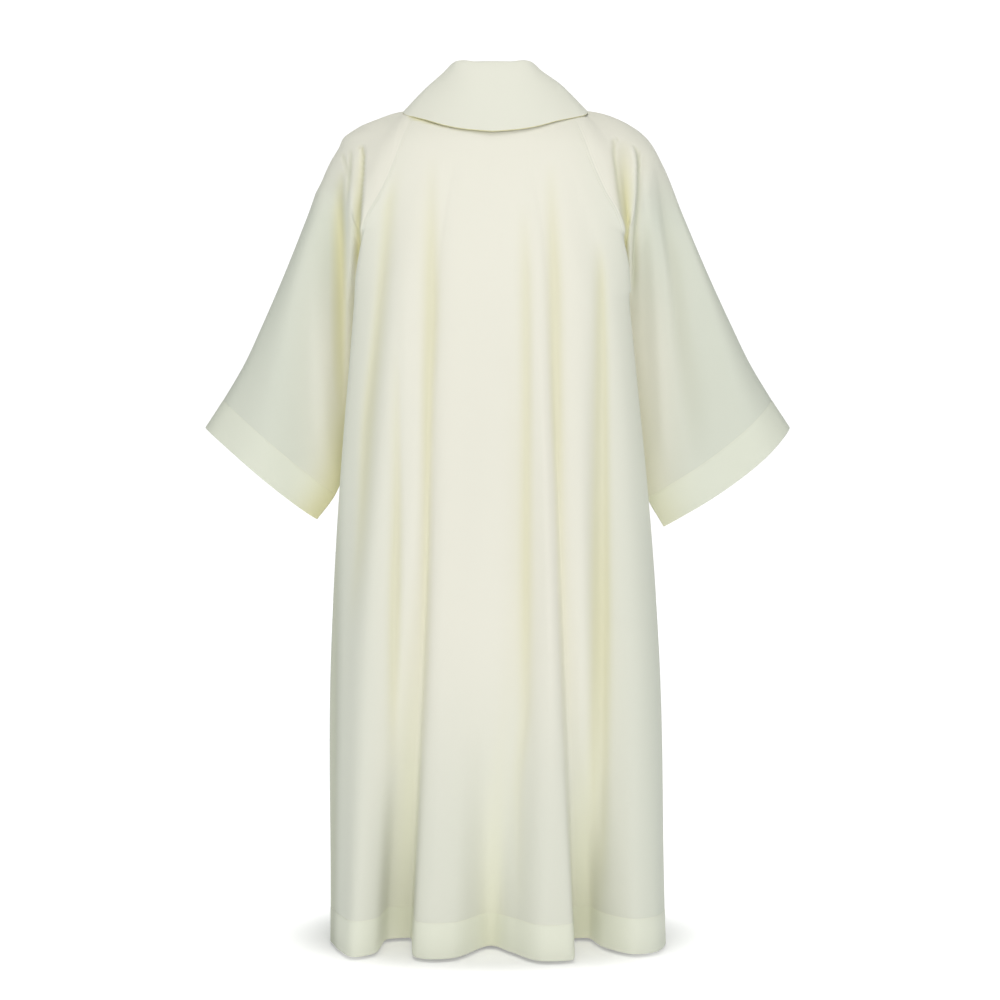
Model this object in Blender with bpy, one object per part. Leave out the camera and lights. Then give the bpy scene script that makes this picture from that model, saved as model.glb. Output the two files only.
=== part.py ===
"""An alb with a fold-over collar, held out as if it is worn. Metres, +Z up.

The back faces -Y, +X is on the viewer's right behind it, and the origin is at the base of the neck.
Each panel is a grid: columns run round the garment and rows run along the cloth. The panels share their
seam points, so their walls meet edge to edge with a narrow gap.
"""

from collections import namedtuple

import bpy
import numpy as np

MM = 0.001

# Levels below the base of the neck
ARMPIT_Z = -330 * MM
MID_Z = -820 * MM
LOW_Z = -1130 * MM
HEM_Z = -1438 * MM

# Cloth
CLOTH = 1.4 * MM
TURN_UP = 1.1 * MM
SEAM_GAP = 0.3 * MM
HEM_BAND = 58 * MM
CUFF_BAND = 56 * MM
BAND_STEP = 6 * MM
SLEEVE_LENGTH = 410 * MM
MOST_MITRE = 1.8
LEAST_TURN = 0.3
SLEEVE_SAY = 2

# The raglan seam leaves the fold under the arm at this share of its length from the armpit
FOLD_TOP = 0.38
DENT_FADE = (0.30, 0.86)
SIDE_ROUNDNESS = 2.3

# How far the folds have moved sideways and deepened at LOW_Z, as a share of the way from MID_Z to HEM_Z
LOW_SHIFT = 0.46
LOW_DEPTH = 0.30

# Rows of the grids
BODY_ROWS = 18
RAGLAN_ROWS = 9
SLEEVE_ROWS = 6
BELOW_ARMPIT = (0.04, 0.10)
BACK_COLUMNS_PER_FOLD = 2
FRONT_COLUMNS_PER_FOLD = 3
SLEEVE_COLUMNS = 20
COLLAR_STEP = 2

Fold = namedtuple("Fold", "name chest_x chest_y mid_x mid_y hem_x hem_y dent")
Place = namedtuple("Place", "x y z")
Level = namedtuple("Level", "z y")

LEFT_SEAM = Fold("left side seam", -205, 0, -220, 0, -262, 0, 0)
RIGHT_SEAM = Fold("right side seam", 205, 0, 222, 0, 276, 0, 0)

# Crests and troughs of the cloth in millimetres, from the left side seam to the right one. The dent is how
# far a trough sinks in above the armpit, where it fades out towards the shoulders.
BACK_FOLDS = (
    LEFT_SEAM,
    Fold("left lip", -215, -36, -242, -28, -272, -28, 0),
    Fold("left edge", -238, -82, -274, -64, -279, -64, 0),
    Fold("left outer dip", -190, -117, -240, -106, -256, -122, 4),
    Fold("left lobe", -149, -137, -198, -146, -229, -160, 0),
    Fold("left lobe turn", -131, -138, -172, -139, -197, -134, 0),
    Fold("left hollow, outer", -114, -138, -140, -143, -183, -48, 1),
    Fold("left hollow, inner", -97, -134, -113, -128, -143, -36, 5),
    Fold("left flute turn", -87, -139, -102, -149, -131, -156, 0),
    Fold("left flute", -73, -143, -86, -157, -101, -172, -1),
    Fold("left flute inner side", -50, -145, -55, -157, -68, -165, 0),
    Fold("centre hollow", -5, -145, -5, -158, -5, -88, 0),
    Fold("right shallow trough", 50, -141, 57, -147, 32, -130, 2),
    Fold("right flute", 73, -143, 90, -167, 86, -185, -1),
    Fold("right flute turn", 85, -141, 104, -162, 132, -176, 0),
    Fold("right hollow, inner", 97, -134, 115, -138, 141, -40, 5),
    Fold("right hollow, outer", 137, -136, 146, -149, 163, -38, 0),
    Fold("right lobe turn", 182, -121, 180, -126, 186, -94, 4),
    Fold("right lobe", 200, -116, 224, -134, 238, -142, 0),
    Fold("right lobe side", 217, -104, 256, -114, 275, -124, 0),
    Fold("right edge", 233, -82, 277, -64, 295, -64, 0),
    Fold("right lip", 215, -36, 243, -28, 288, -24, 0),
    RIGHT_SEAM,
)
FRONT_FOLDS = (
    LEFT_SEAM,
    Fold("left lip", -215, 34, -242, 28, -272, 28, 0),
    Fold("left edge", -234, 78, -266, 66, -276, 72, 0),
    Fold("left lobe", -192, 114, -226, 128, -236, 146, 0),
    Fold("left hollow", -146, 128, -166, 122, -176, 84, 4),
    Fold("left flute", -100, 136, -112, 150, -118, 176, -1),
    Fold("left trough", -56, 138, -62, 140, -60, 112, 3),
    Fold("centre flute", -6, 141, -4, 158, 4, 182, 0),
    Fold("right trough", 48, 138, 56, 143, 66, 116, 2),
    Fold("right flute", 96, 136, 108, 152, 118, 179, -1),
    Fold("right hollow", 146, 128, 164, 123, 172, 80, 4),
    Fold("right lobe", 190, 114, 222, 127, 238, 142, 0),
    Fold("right edge", 231, 78, 268, 66, 290, 66, 0),
    Fold("right lip", 215, 34, 243, 28, 288, 24, 0),
    RIGHT_SEAM,
)

# Seam between body and sleeve on the right, from the armpit to the neck seam, in millimetres
BACK_RAGLAN = (
    Place(205, 0, -330),
    Place(207, -20, -296),
    Place(211, -46, -264),
    Place(218, -78, -241),
    Place(222, -101, -224),
    Place(212, -113, -197),
    Place(190, -117, -160),
    Place(168, -113, -109),
    Place(154, -103, -68),
    Place(142, -83, -36),
    Place(129, -52, -10),
)
FRONT_RAGLAN = (
    Place(205, 0, -330),
    Place(207, 20, -298),
    Place(211, 44, -268),
    Place(217, 73, -247),
    Place(220, 94, -230),
    Place(209, 106, -203),
    Place(188, 111, -167),
    Place(167, 108, -122),
    Place(152, 97, -82),
    Place(139, 76, -50),
    Place(122, 46, -22),
)

# Middle of the back and of the front, from the armpit's level to the neck seam, in millimetres
BACK_MIDDLE = (
    Level(-330, -145),
    Level(-200, -144),
    Level(-150, -140),
    Level(-100, -131),
    Level(-60, -117),
    Level(-24, -86),
)
FRONT_MIDDLE = (
    Level(-330, 141),
    Level(-240, 140),
    Level(-190, 137),
    Level(-150, 131),
    Level(-120, 122),
    Level(-92, 106),
)

# Top line of the right sleeve, from the neck seam over the shoulder to the cuff, and its underarm seam
OVERARM = (
    Place(134, -2, -4),
    Place(161, 0, -3),
    Place(220, 0, -19),
    Place(269, 0, -52),
    Place(295, 0, -96),
    Place(331, 0, -185),
    Place(374, 2, -286),
    Place(417, 4, -379),
    Place(449, 6, -444),
    Place(481, 8, -497),
    Place(519, 10, -555),
)
ARMPIT_ON_OVERARM = 5
UNDERARM = (
    Place(205, 0, -330),
    Place(218, 0, -334),
    Place(228, 0, -350),
    Place(234, 0, -400),
    Place(241, 0, -490),
    Place(251, 2, -590),
    Place(269, 3, -676),
    Place(299, 4, -729),
)
SLEEVE_DEPTH_LOW = 56 * MM
SLEEVE_DEPTH_TOP = 84 * MM
SHOULDER_DEPTH = 62 * MM
NECK_SIDE_DEPTH = 20 * MM
CUFF_SAG = 9 * MM
LEFT_CUFF_SAG = 4 * MM

# The left sleeve hangs closer, from a shoulder that sits a little further in and lower
LEFT_SHOULDER_IN = 6 * MM
LEFT_SHOULDER_DOWN = 6 * MM
LEFT_CUFF_IN = 10 * MM
LEFT_CORNER_OUT = 9 * MM
LEFT_CORNER_UP = 13 * MM

# Long folds of a sleeve: which side it is on, its share of the way from the seam to the top line at the
# armpit's row and at the cuff, how far its crest stands out in millimetres, and its width as a share
SleeveFold = namedtuple("SleeveFold", "side at_armpit at_cuff height width")
SLEEVE_FOLDS = (
    SleeveFold(1, 0.50, 0.20, 5, 0.13),
    SleeveFold(1, 0.74, 0.40, -6, 0.13),
    SleeveFold(1, 0.93, 0.62, 4, 0.14),
    SleeveFold(-1, 0.45, 0.14, -4, 0.14),
    SleeveFold(-1, 0.74, 0.42, 6, 0.16),
    SleeveFold(-1, 0.95, 0.70, -3, 0.15),
)

# The cloth breaks over the upper arm: from this line outwards it drops back. Distances from the middle at
# heights below the neck, in millimetres.
BREAK_LINE_LEFT = (Level(-262, 235), Level(-222, 226), Level(-165, 222), Level(-60, 222))
BREAK_LINE_RIGHT = (Level(-262, 229), Level(-222, 223), Level(-165, 217), Level(-60, 209))
BREAK_DEPTHS = (
    Level(-330, 0),
    Level(-262, 3),
    Level(-215, 17),
    Level(-165, 14),
    Level(-110, 8),
    Level(-55, 0),
)
BREAK_WIDTH = 12 * MM
BREAK_REACH = 85 * MM
BREAK_LAST_ROW = 1.6
FRONT_BREAK = 0.7

# Collar: a rolled top line, and an outer edge that lies outside the panels
ROLL_HALF_WIDTH = 79 * MM
ROLL_BACK_Y = -62 * MM
ROLL_FRONT_Y = 128 * MM
ROLL_SQUARENESS_BACK = 2.6
ROLL_SQUARENESS_FRONT = 2.1
ROLL_TOP_Z = 70 * MM
ROLL_FRONT_Z = -28 * MM
ROLL_LEVEL_Y = -36 * MM
ROLL_FALL = 1.6
ROLL_RADIUS = 4.5 * MM
COLLAR_CLEAR = 6.5 * MM
COLLAR_CROWN = 1.5 * MM
# How far the collar's edge lies from the neck seam: share of the half ring from the back, and millimetres
Reach = namedtuple("Reach", "share length")
COLLAR_REACH = (
    Reach(0.0, 52),
    Reach(0.25, 43),
    Reach(0.4, 27),
    Reach(0.5, 18),
    Reach(0.66, 34),
    Reach(0.85, 55),
    Reach(1.0, 60),
)

COLOURS = {
    "back": (0.835, 0.825, 0.70),
    "front": (0.83, 0.82, 0.70),
    "sleeve_left": (0.80, 0.81, 0.70),
    "sleeve_right": (0.80, 0.81, 0.70),
    "collar": (0.85, 0.85, 0.74),
}
ROUGHNESS = 0.85


def through(knots, values, at, rounded=False):
    """A smooth curve through the values at the knots. A rounded one never passes a crest or a trough."""
    knots = np.asarray(knots, float)
    values = np.asarray(values, float)
    at = np.clip(np.atleast_1d(np.asarray(at, float)), knots[0], knots[-1])
    column = (-1,) + (1,) * (values.ndim - 1)
    steps = np.diff(knots).reshape(column)
    slopes = np.diff(values, axis=0) / steps
    before, after = slopes[:-1], slopes[1:]
    if rounded:
        first = 2 * steps[1:] + steps[:-1]
        second = steps[1:] + 2 * steps[:-1]
        same_way = before * after > 0
        safe_before = np.where(same_way, before, 1)
        safe_after = np.where(same_way, after, 1)
        mean = (first + second) / (first / safe_before + second / safe_after)
        middle = np.where(same_way, mean, 0)
    else:
        middle = (before * steps[1:] + after * steps[:-1]) / (steps[1:] + steps[:-1])
    tangents = np.concatenate([slopes[:1], middle, slopes[-1:]])
    place = np.clip(np.searchsorted(knots, at, side="right") - 1, 0, len(knots) - 2)
    step = steps[place]
    share = (at - knots[place]).reshape(column) / step
    return (
        (2 * share**3 - 3 * share**2 + 1) * values[place]
        + (share**3 - 2 * share**2 + share) * step * tangents[place]
        + (3 * share**2 - 2 * share**3) * values[place + 1]
        + (share**3 - share**2) * step * tangents[place + 1]
    )


def ease(value, start, end):
    """From 0 at start to 1 at end, level at both."""
    share = np.clip((np.asarray(value, float) - start) / (end - start), 0, 1)
    return share * share * (3 - 2 * share)


def unit(vectors):
    return vectors / np.maximum(np.linalg.norm(vectors, axis=-1, keepdims=True), 1e-12)


def lengths_along(points):
    """Length from the first point to each point, as shares of the whole."""
    steps = np.linalg.norm(np.diff(points, axis=0), axis=1)
    return np.concatenate([[0], np.cumsum(steps)]) / steps.sum()


def curve_of(places):
    """Knots and points of a table of places, spaced by length."""
    points = np.array([(p.x, p.y, p.z) for p in places]) * MM
    return lengths_along(points), points


class Body:
    """The back or the front: rings below the armpit, and rows between the raglan seams above it."""

    def __init__(self, folds, raglan, middle):
        chest = np.array([(f.chest_x, f.chest_y) for f in folds]) * MM
        mid = np.array([(f.mid_x, f.mid_y) for f in folds]) * MM
        hem = np.array([(f.hem_x, f.hem_y) for f in folds]) * MM
        low = mid + (hem - mid) * (LOW_SHIFT, LOW_DEPTH)
        self.levels = np.stack([hem, low, mid, chest])
        shares = [lengths_along(level) for level in (chest, mid, hem)]
        self.knots = np.mean(shares, axis=0)
        self.chest = chest
        self.facing = np.sign(middle[0].y)
        self.dents = np.array([f.dent for f in folds]) * MM
        self.raglan = curve_of(raglan)
        self.middle = np.array([(level.z, level.y) for level in middle]) * MM
        # Above the armpit the side folds gather into the seam, and the others keep their share of the width
        spread = chest[:, 0] / np.abs(chest[:, 0]).max()
        spread[[0, 1, -2, -1]] = -1, -0.975, 0.975, 1
        spread[2:-2] *= 0.94
        self.spread = spread

    def columns(self, per_fold):
        """Places of the grid's columns: each fold and the stretches between them."""
        numbers = np.arange(len(self.knots))
        return np.interp(np.arange(per_fold * numbers[-1] + 1) / per_fold, numbers, self.knots)

    def lower(self, columns, heights):
        """Points of the rings at these heights."""
        folds = through((HEM_Z, LOW_Z, MID_Z, ARMPIT_Z), self.levels, heights)
        flat = through(self.knots, np.swapaxes(folds, 0, 1), columns, rounded=True)
        level = np.broadcast_to(np.asarray(heights, float), flat.shape[:2])
        return np.swapaxes(np.dstack([flat, level]), 0, 1)

    def upper(self, columns, shares):
        """Points of the rows at these shares of the way up the raglan seam."""
        shares = np.asarray(shares, float)
        seam = through(*self.raglan, shares)[:, None, :]
        # Where the seam dives into the fold under the arm, the panel itself runs on past it
        leaves = through(*self.raglan, np.maximum(shares, FOLD_TOP))[:, None, :]
        neck_drop = self.middle[-1, 0] - self.raglan[1][-1, 2]
        z_middle = seam[..., 2] + neck_drop * ease(shares, 0.45, 1.0)[:, None]
        y_middle = through(self.middle[:, 0], self.middle[:, 1], z_middle.ravel())[:, None]
        spread = through(self.knots, self.spread, columns, rounded=True)[None, :]
        side = np.sign(spread)
        x_high = leaves[..., 0] * spread
        y_high = y_middle + (leaves[..., 1] - y_middle) * np.abs(spread) ** SIDE_ROUNDNESS
        dents = through(self.knots, self.dents, columns, rounded=True)
        y_high = y_high - self.facing * dents * (1 - ease(shares, *DENT_FADE))[:, None]
        # The ring at the armpit's level, with its ends drawn to the seam
        into_seam = np.zeros(len(columns))
        for end, edge in ((0, 2), (-1, -3)):
            turned = (columns - self.knots[edge]) / (self.knots[end] - self.knots[edge])
            into_seam += np.clip(turned, 0, 1) ** 2
        ring = through(self.knots, self.chest, columns, rounded=True)[None]
        armpit = self.raglan[1][0]
        x_low = ring[..., 0] + side * (seam[..., 0] - armpit[0]) * into_seam
        y_low = ring[..., 1] + (seam[..., 1] - armpit[1]) * into_seam
        x_high = x_high + side * (seam[..., 0] - leaves[..., 0]) * into_seam
        y_high = y_high + (seam[..., 1] - leaves[..., 1]) * into_seam
        high = ease(shares, 0.0, FOLD_TOP)[:, None]
        x = x_low + (x_high - x_low) * high
        y = y_low + (y_high - y_low) * high
        z = seam[..., 2] + (z_middle - seam[..., 2]) * (1 - spread**2)
        return np.dstack([x, y, z])

    def seam_direction(self, shares):
        """Which way the panel's surface leaves its right seam, outwards."""
        ends = self.upper(np.array([1 - 2e-3, 1.0]), shares)
        return unit(ends[:, 1] - ends[:, 0])


BACK = Body(BACK_FOLDS, BACK_RAGLAN, BACK_MIDDLE)
FRONT = Body(FRONT_FOLDS, FRONT_RAGLAN, FRONT_MIDDLE)


def bend(start, first, second, end, along):
    """Cubic curve with these four control points for each row, read at the shares along."""
    a = along[None, :, None]
    b = 1 - a
    start, first, second, end = (p[:, None, :] for p in (start, first, second, end))
    return b**3 * start + 3 * b * b * a * first + 3 * b * a * a * second + a**3 * end


def sleeve(side, columns, rows):
    """Points of a sleeve. Rows go from 0 at the neck seam over 1 at the armpit to 2 at the cuff.

    Columns go from 0 at the back seam over 0.5 at the top of the arm to 1 at the front seam.
    """
    rows = np.asarray(rows, float)
    on_shoulder = np.clip(rows, 0, 1)
    on_arm = np.clip(rows - 1, 0, 1)[:, None]
    knots, points = curve_of(OVERARM)
    turn = knots[ARMPIT_ON_OVERARM]
    top = through(knots, points, np.where(rows < 1, rows * turn, turn + (rows - 1) * (1 - turn)))
    under = through(*curve_of(UNDERARM), on_arm[:, 0])
    if side < 0:
        shoulder = ease(rows, 0.0, 0.3)[:, None]
        lowered = shoulder * (1 - ease(rows, 0.3, 0.5)[:, None])
        top = top - shoulder * (LEFT_SHOULDER_IN, 0, 0) - lowered * (0, 0, LEFT_SHOULDER_DOWN)
        top = top - ease(rows, 0.6, 2.0)[:, None] * (LEFT_CUFF_IN, 0, 0)
        under = under + on_arm**4 * (LEFT_CORNER_OUT, 0, LEFT_CORNER_UP)
    halves = []
    for body, facing in ((BACK, -1), (FRONT, 1)):
        seam = through(*body.raglan, 1 - on_shoulder)
        start = np.where(rows[:, None] < 1, seam, under)
        span = np.linalg.norm(top - start, axis=1)[:, None]
        along = unit(top - start)
        over_body = ease(1 - on_shoulder, 0.30, 0.46)[:, None]
        from_fold = unit(along + np.array([0.25, 0.12 * facing, 0.0]))
        leaving = unit(body.seam_direction(1 - on_shoulder) * over_body + from_fold * (1 - over_body))
        in_fold = leaving * 0.34 * span + np.array([0, facing, 0]) * SLEEVE_DEPTH_LOW * (0.35 + 0.65 * on_arm)
        on_top = leaving * 0.36 * span
        first = start + on_top * over_body + in_fold * (1 - over_body)
        depth = NECK_SIDE_DEPTH + (SHOULDER_DEPTH - NECK_SIDE_DEPTH) * ease(rows, 0.0, 0.35)[:, None]
        depth = depth + (SLEEVE_DEPTH_TOP - SHOULDER_DEPTH) * ease(rows, 0.7, 1.5)[:, None]
        second = top + np.array([0, facing, 0]) * depth
        local = 2 * columns[columns <= 0.5] if facing < 0 else 2 - 2 * columns[columns > 0.5]
        halves.append(bend(start, first, second, top, local))
    cloth = np.concatenate(halves, axis=1)
    cloth[..., 1] += sleeve_folds(side, columns, rows)
    break_over_arm(cloth, side, rows)
    # The open edge sags a little below a straight line in the middle of each half
    along = unit(top - under)
    outwards = np.stack([along[:, 2], 0 * along[:, 1], -along[:, 0]], axis=1)
    deepest = CUFF_SAG if side > 0 else LEFT_CUFF_SAG
    sag = deepest * ease(rows, 1.5, 2.0)[:, None] * np.sin(2 * np.pi * columns)[None, :] ** 2
    cloth = cloth + outwards[:, None, :] * sag[:, :, None]
    if side < 0:
        cloth = cloth * (-1, 1, 1)
    return cloth


def sleeve_folds(side, columns, rows):
    """How far the long folds move the cloth along Y.

    They fade out at the seams, at the top line and towards the shoulder.
    """
    along = np.clip(np.asarray(rows) - 1, -0.5, 1)[:, None]
    local = 1 - np.abs(1 - 2 * columns)[None, :]
    moved = 0 * along * local
    for fold in SLEEVE_FOLDS:
        if fold.side == side:
            place = fold.at_armpit + (fold.at_cuff - fold.at_armpit) * along
            moved = moved + fold.height * MM * np.exp(-(((local - place) / fold.width) ** 2))
    strength = ease(along, -0.5, 0.1) * np.sin(np.pi * np.minimum(local, 1)) ** 0.5
    facing = np.where(columns <= 0.5, -1, 1)[None, :]
    return moved * strength * facing


def break_over_arm(cloth, side, rows):
    """Moves the sleeve's points inwards along Y, past the line where the cloth breaks over the upper arm."""
    line = np.array(BREAK_LINE_LEFT if side < 0 else BREAK_LINE_RIGHT) * MM
    depths = np.array(BREAK_DEPTHS) * MM
    on_shoulder = np.asarray(rows) <= BREAK_LAST_ROW
    x, y, z = np.moveaxis(cloth[on_shoulder], 2, 0)
    past = x - through(line[:, 0], line[:, 1], z.ravel()).reshape(z.shape)
    depth = through(depths[:, 0], depths[:, 1], z.ravel(), rounded=True).reshape(z.shape)
    drop = depth * ease(past, 0, BREAK_WIDTH) * (1 - ease(past, BREAK_WIDTH, BREAK_REACH))
    cloth[on_shoulder, :, 1] += np.where(y < 0, drop, -drop * FRONT_BREAK)


def collar_rows(columns_at_neck):
    """Points of the collar, from the neck seam to the outer edge, on the given columns of each panel."""
    near = np.linspace(1.0, 0.55, 46)
    back, right, front, left = columns_at_neck
    fans = [
        BACK.upper(back, near),
        sleeve(1, right, 1 - near),
        FRONT.upper(front, near)[:, ::-1],
        sleeve(-1, left, 1 - near)[:, ::-1],
    ]
    fan = np.concatenate([part[:, :-1] for part in fans], axis=1)
    neck = fan[0]
    down = np.gradient(fan, axis=0)
    round_it = (np.roll(fan, -1, axis=1) - np.roll(fan, 1, axis=1)) / 2
    normals = unit(np.cross(round_it, -down))
    angle = np.arctan2(neck[:, 0], -neck[:, 1])
    share = np.abs(angle) / np.pi
    reach = through([r.share for r in COLLAR_REACH], [r.length * MM for r in COLLAR_REACH], share)
    lengths = np.cumsum(np.linalg.norm(down, axis=2), axis=0)
    lengths = lengths - lengths[0]
    edge = np.empty_like(neck)
    for i in range(len(neck)):
        place = through(lengths[:, i], fan[:, i], reach[i])[0]
        normal = through(lengths[:, i], normals[:, i], reach[i])[0]
        edge[i] = place + unit(normal) * COLLAR_CLEAR
    sine, cosine = np.sin(angle), np.cos(angle)
    power = np.where(cosine > 0, 2 / ROLL_SQUARENESS_BACK, 2 / ROLL_SQUARENESS_FRONT)
    x = ROLL_HALF_WIDTH * np.sign(sine) * np.abs(sine) ** power
    y = np.where(cosine > 0, ROLL_BACK_Y, ROLL_FRONT_Y) * np.abs(cosine) ** power
    fall = np.clip((y - ROLL_LEVEL_Y) / (ROLL_FRONT_Y - ROLL_LEVEL_Y), 0, 1) ** ROLL_FALL
    z = ROLL_TOP_Z + (ROLL_FRONT_Z - ROLL_TOP_Z) * fall
    roll = np.stack([x, y, z], axis=1)
    outwards = edge - neck.mean(axis=0)
    outwards[:, 2] = 0
    outwards = unit(outwards)
    up = np.array([0, 0, 1.0])
    inner = roll - outwards * ROLL_RADIUS - up * ROLL_RADIUS
    outer = roll + outwards * ROLL_RADIUS - up * ROLL_RADIUS
    stand = neck + (inner - neck) * 0.5 + (up - outwards) * 2 * MM
    bulge = (outwards + up) * COLLAR_CROWN
    return np.stack([
        neck,
        stand,
        inner,
        roll,
        outer,
        outer + (edge - outer) * 0.33 + bulge,
        outer + (edge - outer) * 0.67 + bulge * 0.8,
        edge,
    ])


def grid_faces(ids, closed=False):
    """Quads of a grid of point numbers."""
    if closed:
        ids = np.concatenate([ids, ids[:, :1]], axis=1)
    return np.stack([ids[:-1, :-1], ids[:-1, 1:], ids[1:, 1:], ids[1:, :-1]], axis=2).reshape(-1, 4)


def cut_quads(quads, points):
    """Each quad as two triangles, cut along its shorter diagonal."""
    a, b, c, d = (points[quads[:, i]] for i in range(4))
    long_way = np.linalg.norm(c - a, axis=1) > np.linalg.norm(d - b, axis=1)
    turned = np.where(long_way[:, None], np.roll(quads, -1, axis=1), quads)
    return np.concatenate([turned[:, [0, 1, 2]], turned[:, [0, 2, 3]]])


def shared_normals(points, panels):
    """Outward direction at each point, and how much further a wall must step there to keep its thickness.

    Where panels meet, a sleeve has more say than the others: its faces are folded sharply at the armpit.
    """
    normals = np.zeros_like(points)
    for name, faces in panels.items():
        corners = points[faces]
        across = np.cross(corners[:, 2] - corners[:, 0], corners[:, 3] - corners[:, 1])
        own = np.zeros_like(points)
        for corner in range(4):
            np.add.at(own, faces[:, corner], across)
        normals += unit(own) * (SLEEVE_SAY if "sleeve" in name else 1)
    normals = unit(normals)
    mitre = np.ones(len(points))
    for faces in panels.values():
        corners = points[faces]
        facing = unit(np.cross(corners[:, 2] - corners[:, 0], corners[:, 3] - corners[:, 1]))
        for corner in range(4):
            lean = np.abs(np.einsum("ij,ij->i", facing, normals[faces[:, corner]]))
            np.maximum.at(mitre, faces[:, corner], 1 / np.clip(lean, 1 / MOST_MITRE, 1))
    return normals, mitre


def inset(points, normals, sides):
    """The panel's points, drawn back from its seams by half the gap. Sides says which borders are seams."""
    moved = points.copy()
    borders = {
        "first column": (np.s_[:, 0], np.s_[:, 1]),
        "last column": (np.s_[:, -1], np.s_[:, -2]),
        "first row": (np.s_[0, :], np.s_[1, :]),
        "last row": (np.s_[-1, :], np.s_[-2, :]),
    }
    for side in sides:
        border, next_line = borders[side]
        edge = points[border]
        inwards = points[next_line] - edge
        tangents = np.diff(edge, axis=0)
        both = inwards[1:] + inwards[:-1]
        asides = []
        for ahead in (0, 1):
            # The edge before each point, then the edge after it
            tangent = np.insert(tangents, len(tangents) if ahead else 0, tangents[-ahead], axis=0)
            towards = np.insert(both, len(both) if ahead else 0, both[-ahead], axis=0)
            aside = unit(np.cross(normals[border], tangent))
            asides.append(aside * np.sign(np.einsum("ij,ij->i", aside, towards))[:, None])
        turn = 1 + np.einsum("ij,ij->i", *asides)
        moved[border] += (asides[0] + asides[1]) / np.maximum(turn, LEAST_TURN)[:, None] * SEAM_GAP / 2
    return moved


def walls(points, normals, mitre, inner_extra):
    """Outer and inner points of a panel's wall."""
    step = normals * mitre[..., None]
    return points + step * CLOTH / 2, points - step * (CLOTH / 2 + inner_extra[..., None])


def loft(name, outer, inner, closed=False):
    """A closed solid between two like grids of points: two sheets and the rims that join them."""
    rows, columns = outer.shape[:2]
    ids = np.arange(rows * columns).reshape(rows, columns)
    below = ids + rows * columns
    vertices = np.concatenate([outer.reshape(-1, 3), inner.reshape(-1, 3)])
    # Both sheets are cut along the same diagonals, so that the wall keeps its thickness in between
    sheet = cut_quads(grid_faces(ids, closed), (outer + inner).reshape(-1, 3) / 2)
    faces = [sheet, sheet[:, ::-1] + rows * columns]
    rims = [(ids[0], below[0]), (below[-1], ids[-1])]
    if not closed:
        rims += [(below[:, 0], ids[:, 0]), (ids[:, -1], below[:, -1])]
    for number, (upper, lower) in enumerate(rims):
        faces.append(cut_quads(grid_faces(np.stack([lower, upper]), closed and number < 2), vertices))
    faces = np.concatenate(faces)
    first, second, third = (vertices[faces[:, corner]] for corner in range(3))
    if np.einsum("ij,ij->", first, np.cross(second, third)) < 0:
        faces = faces[:, ::-1]
    mesh = bpy.data.meshes.new(name)
    mesh.from_pydata(vertices.tolist(), [], faces.tolist())
    mesh.shade_smooth()
    return mesh


def row_places():
    """Heights of the body's rows below the armpit, shares up the raglan seam, and rows of the sleeve."""
    band = HEM_Z + np.array([0, HEM_BAND / 2, HEM_BAND, HEM_BAND + BAND_STEP])
    heights = np.concatenate([band, np.linspace(band[-1], ARMPIT_Z, BODY_ROWS - 2)[1:]])
    shares = np.linspace(0, 1, RAGLAN_ROWS + 1)[1:]
    cuff = 1 - np.array([CUFF_BAND + BAND_STEP, CUFF_BAND, CUFF_BAND / 2, 0]) / SLEEVE_LENGTH
    arm = np.concatenate([BELOW_ARMPIT, np.linspace(BELOW_ARMPIT[-1], cuff[0], SLEEVE_ROWS)[1:-1], cuff]) + 1
    return heights, shares, arm


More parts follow.
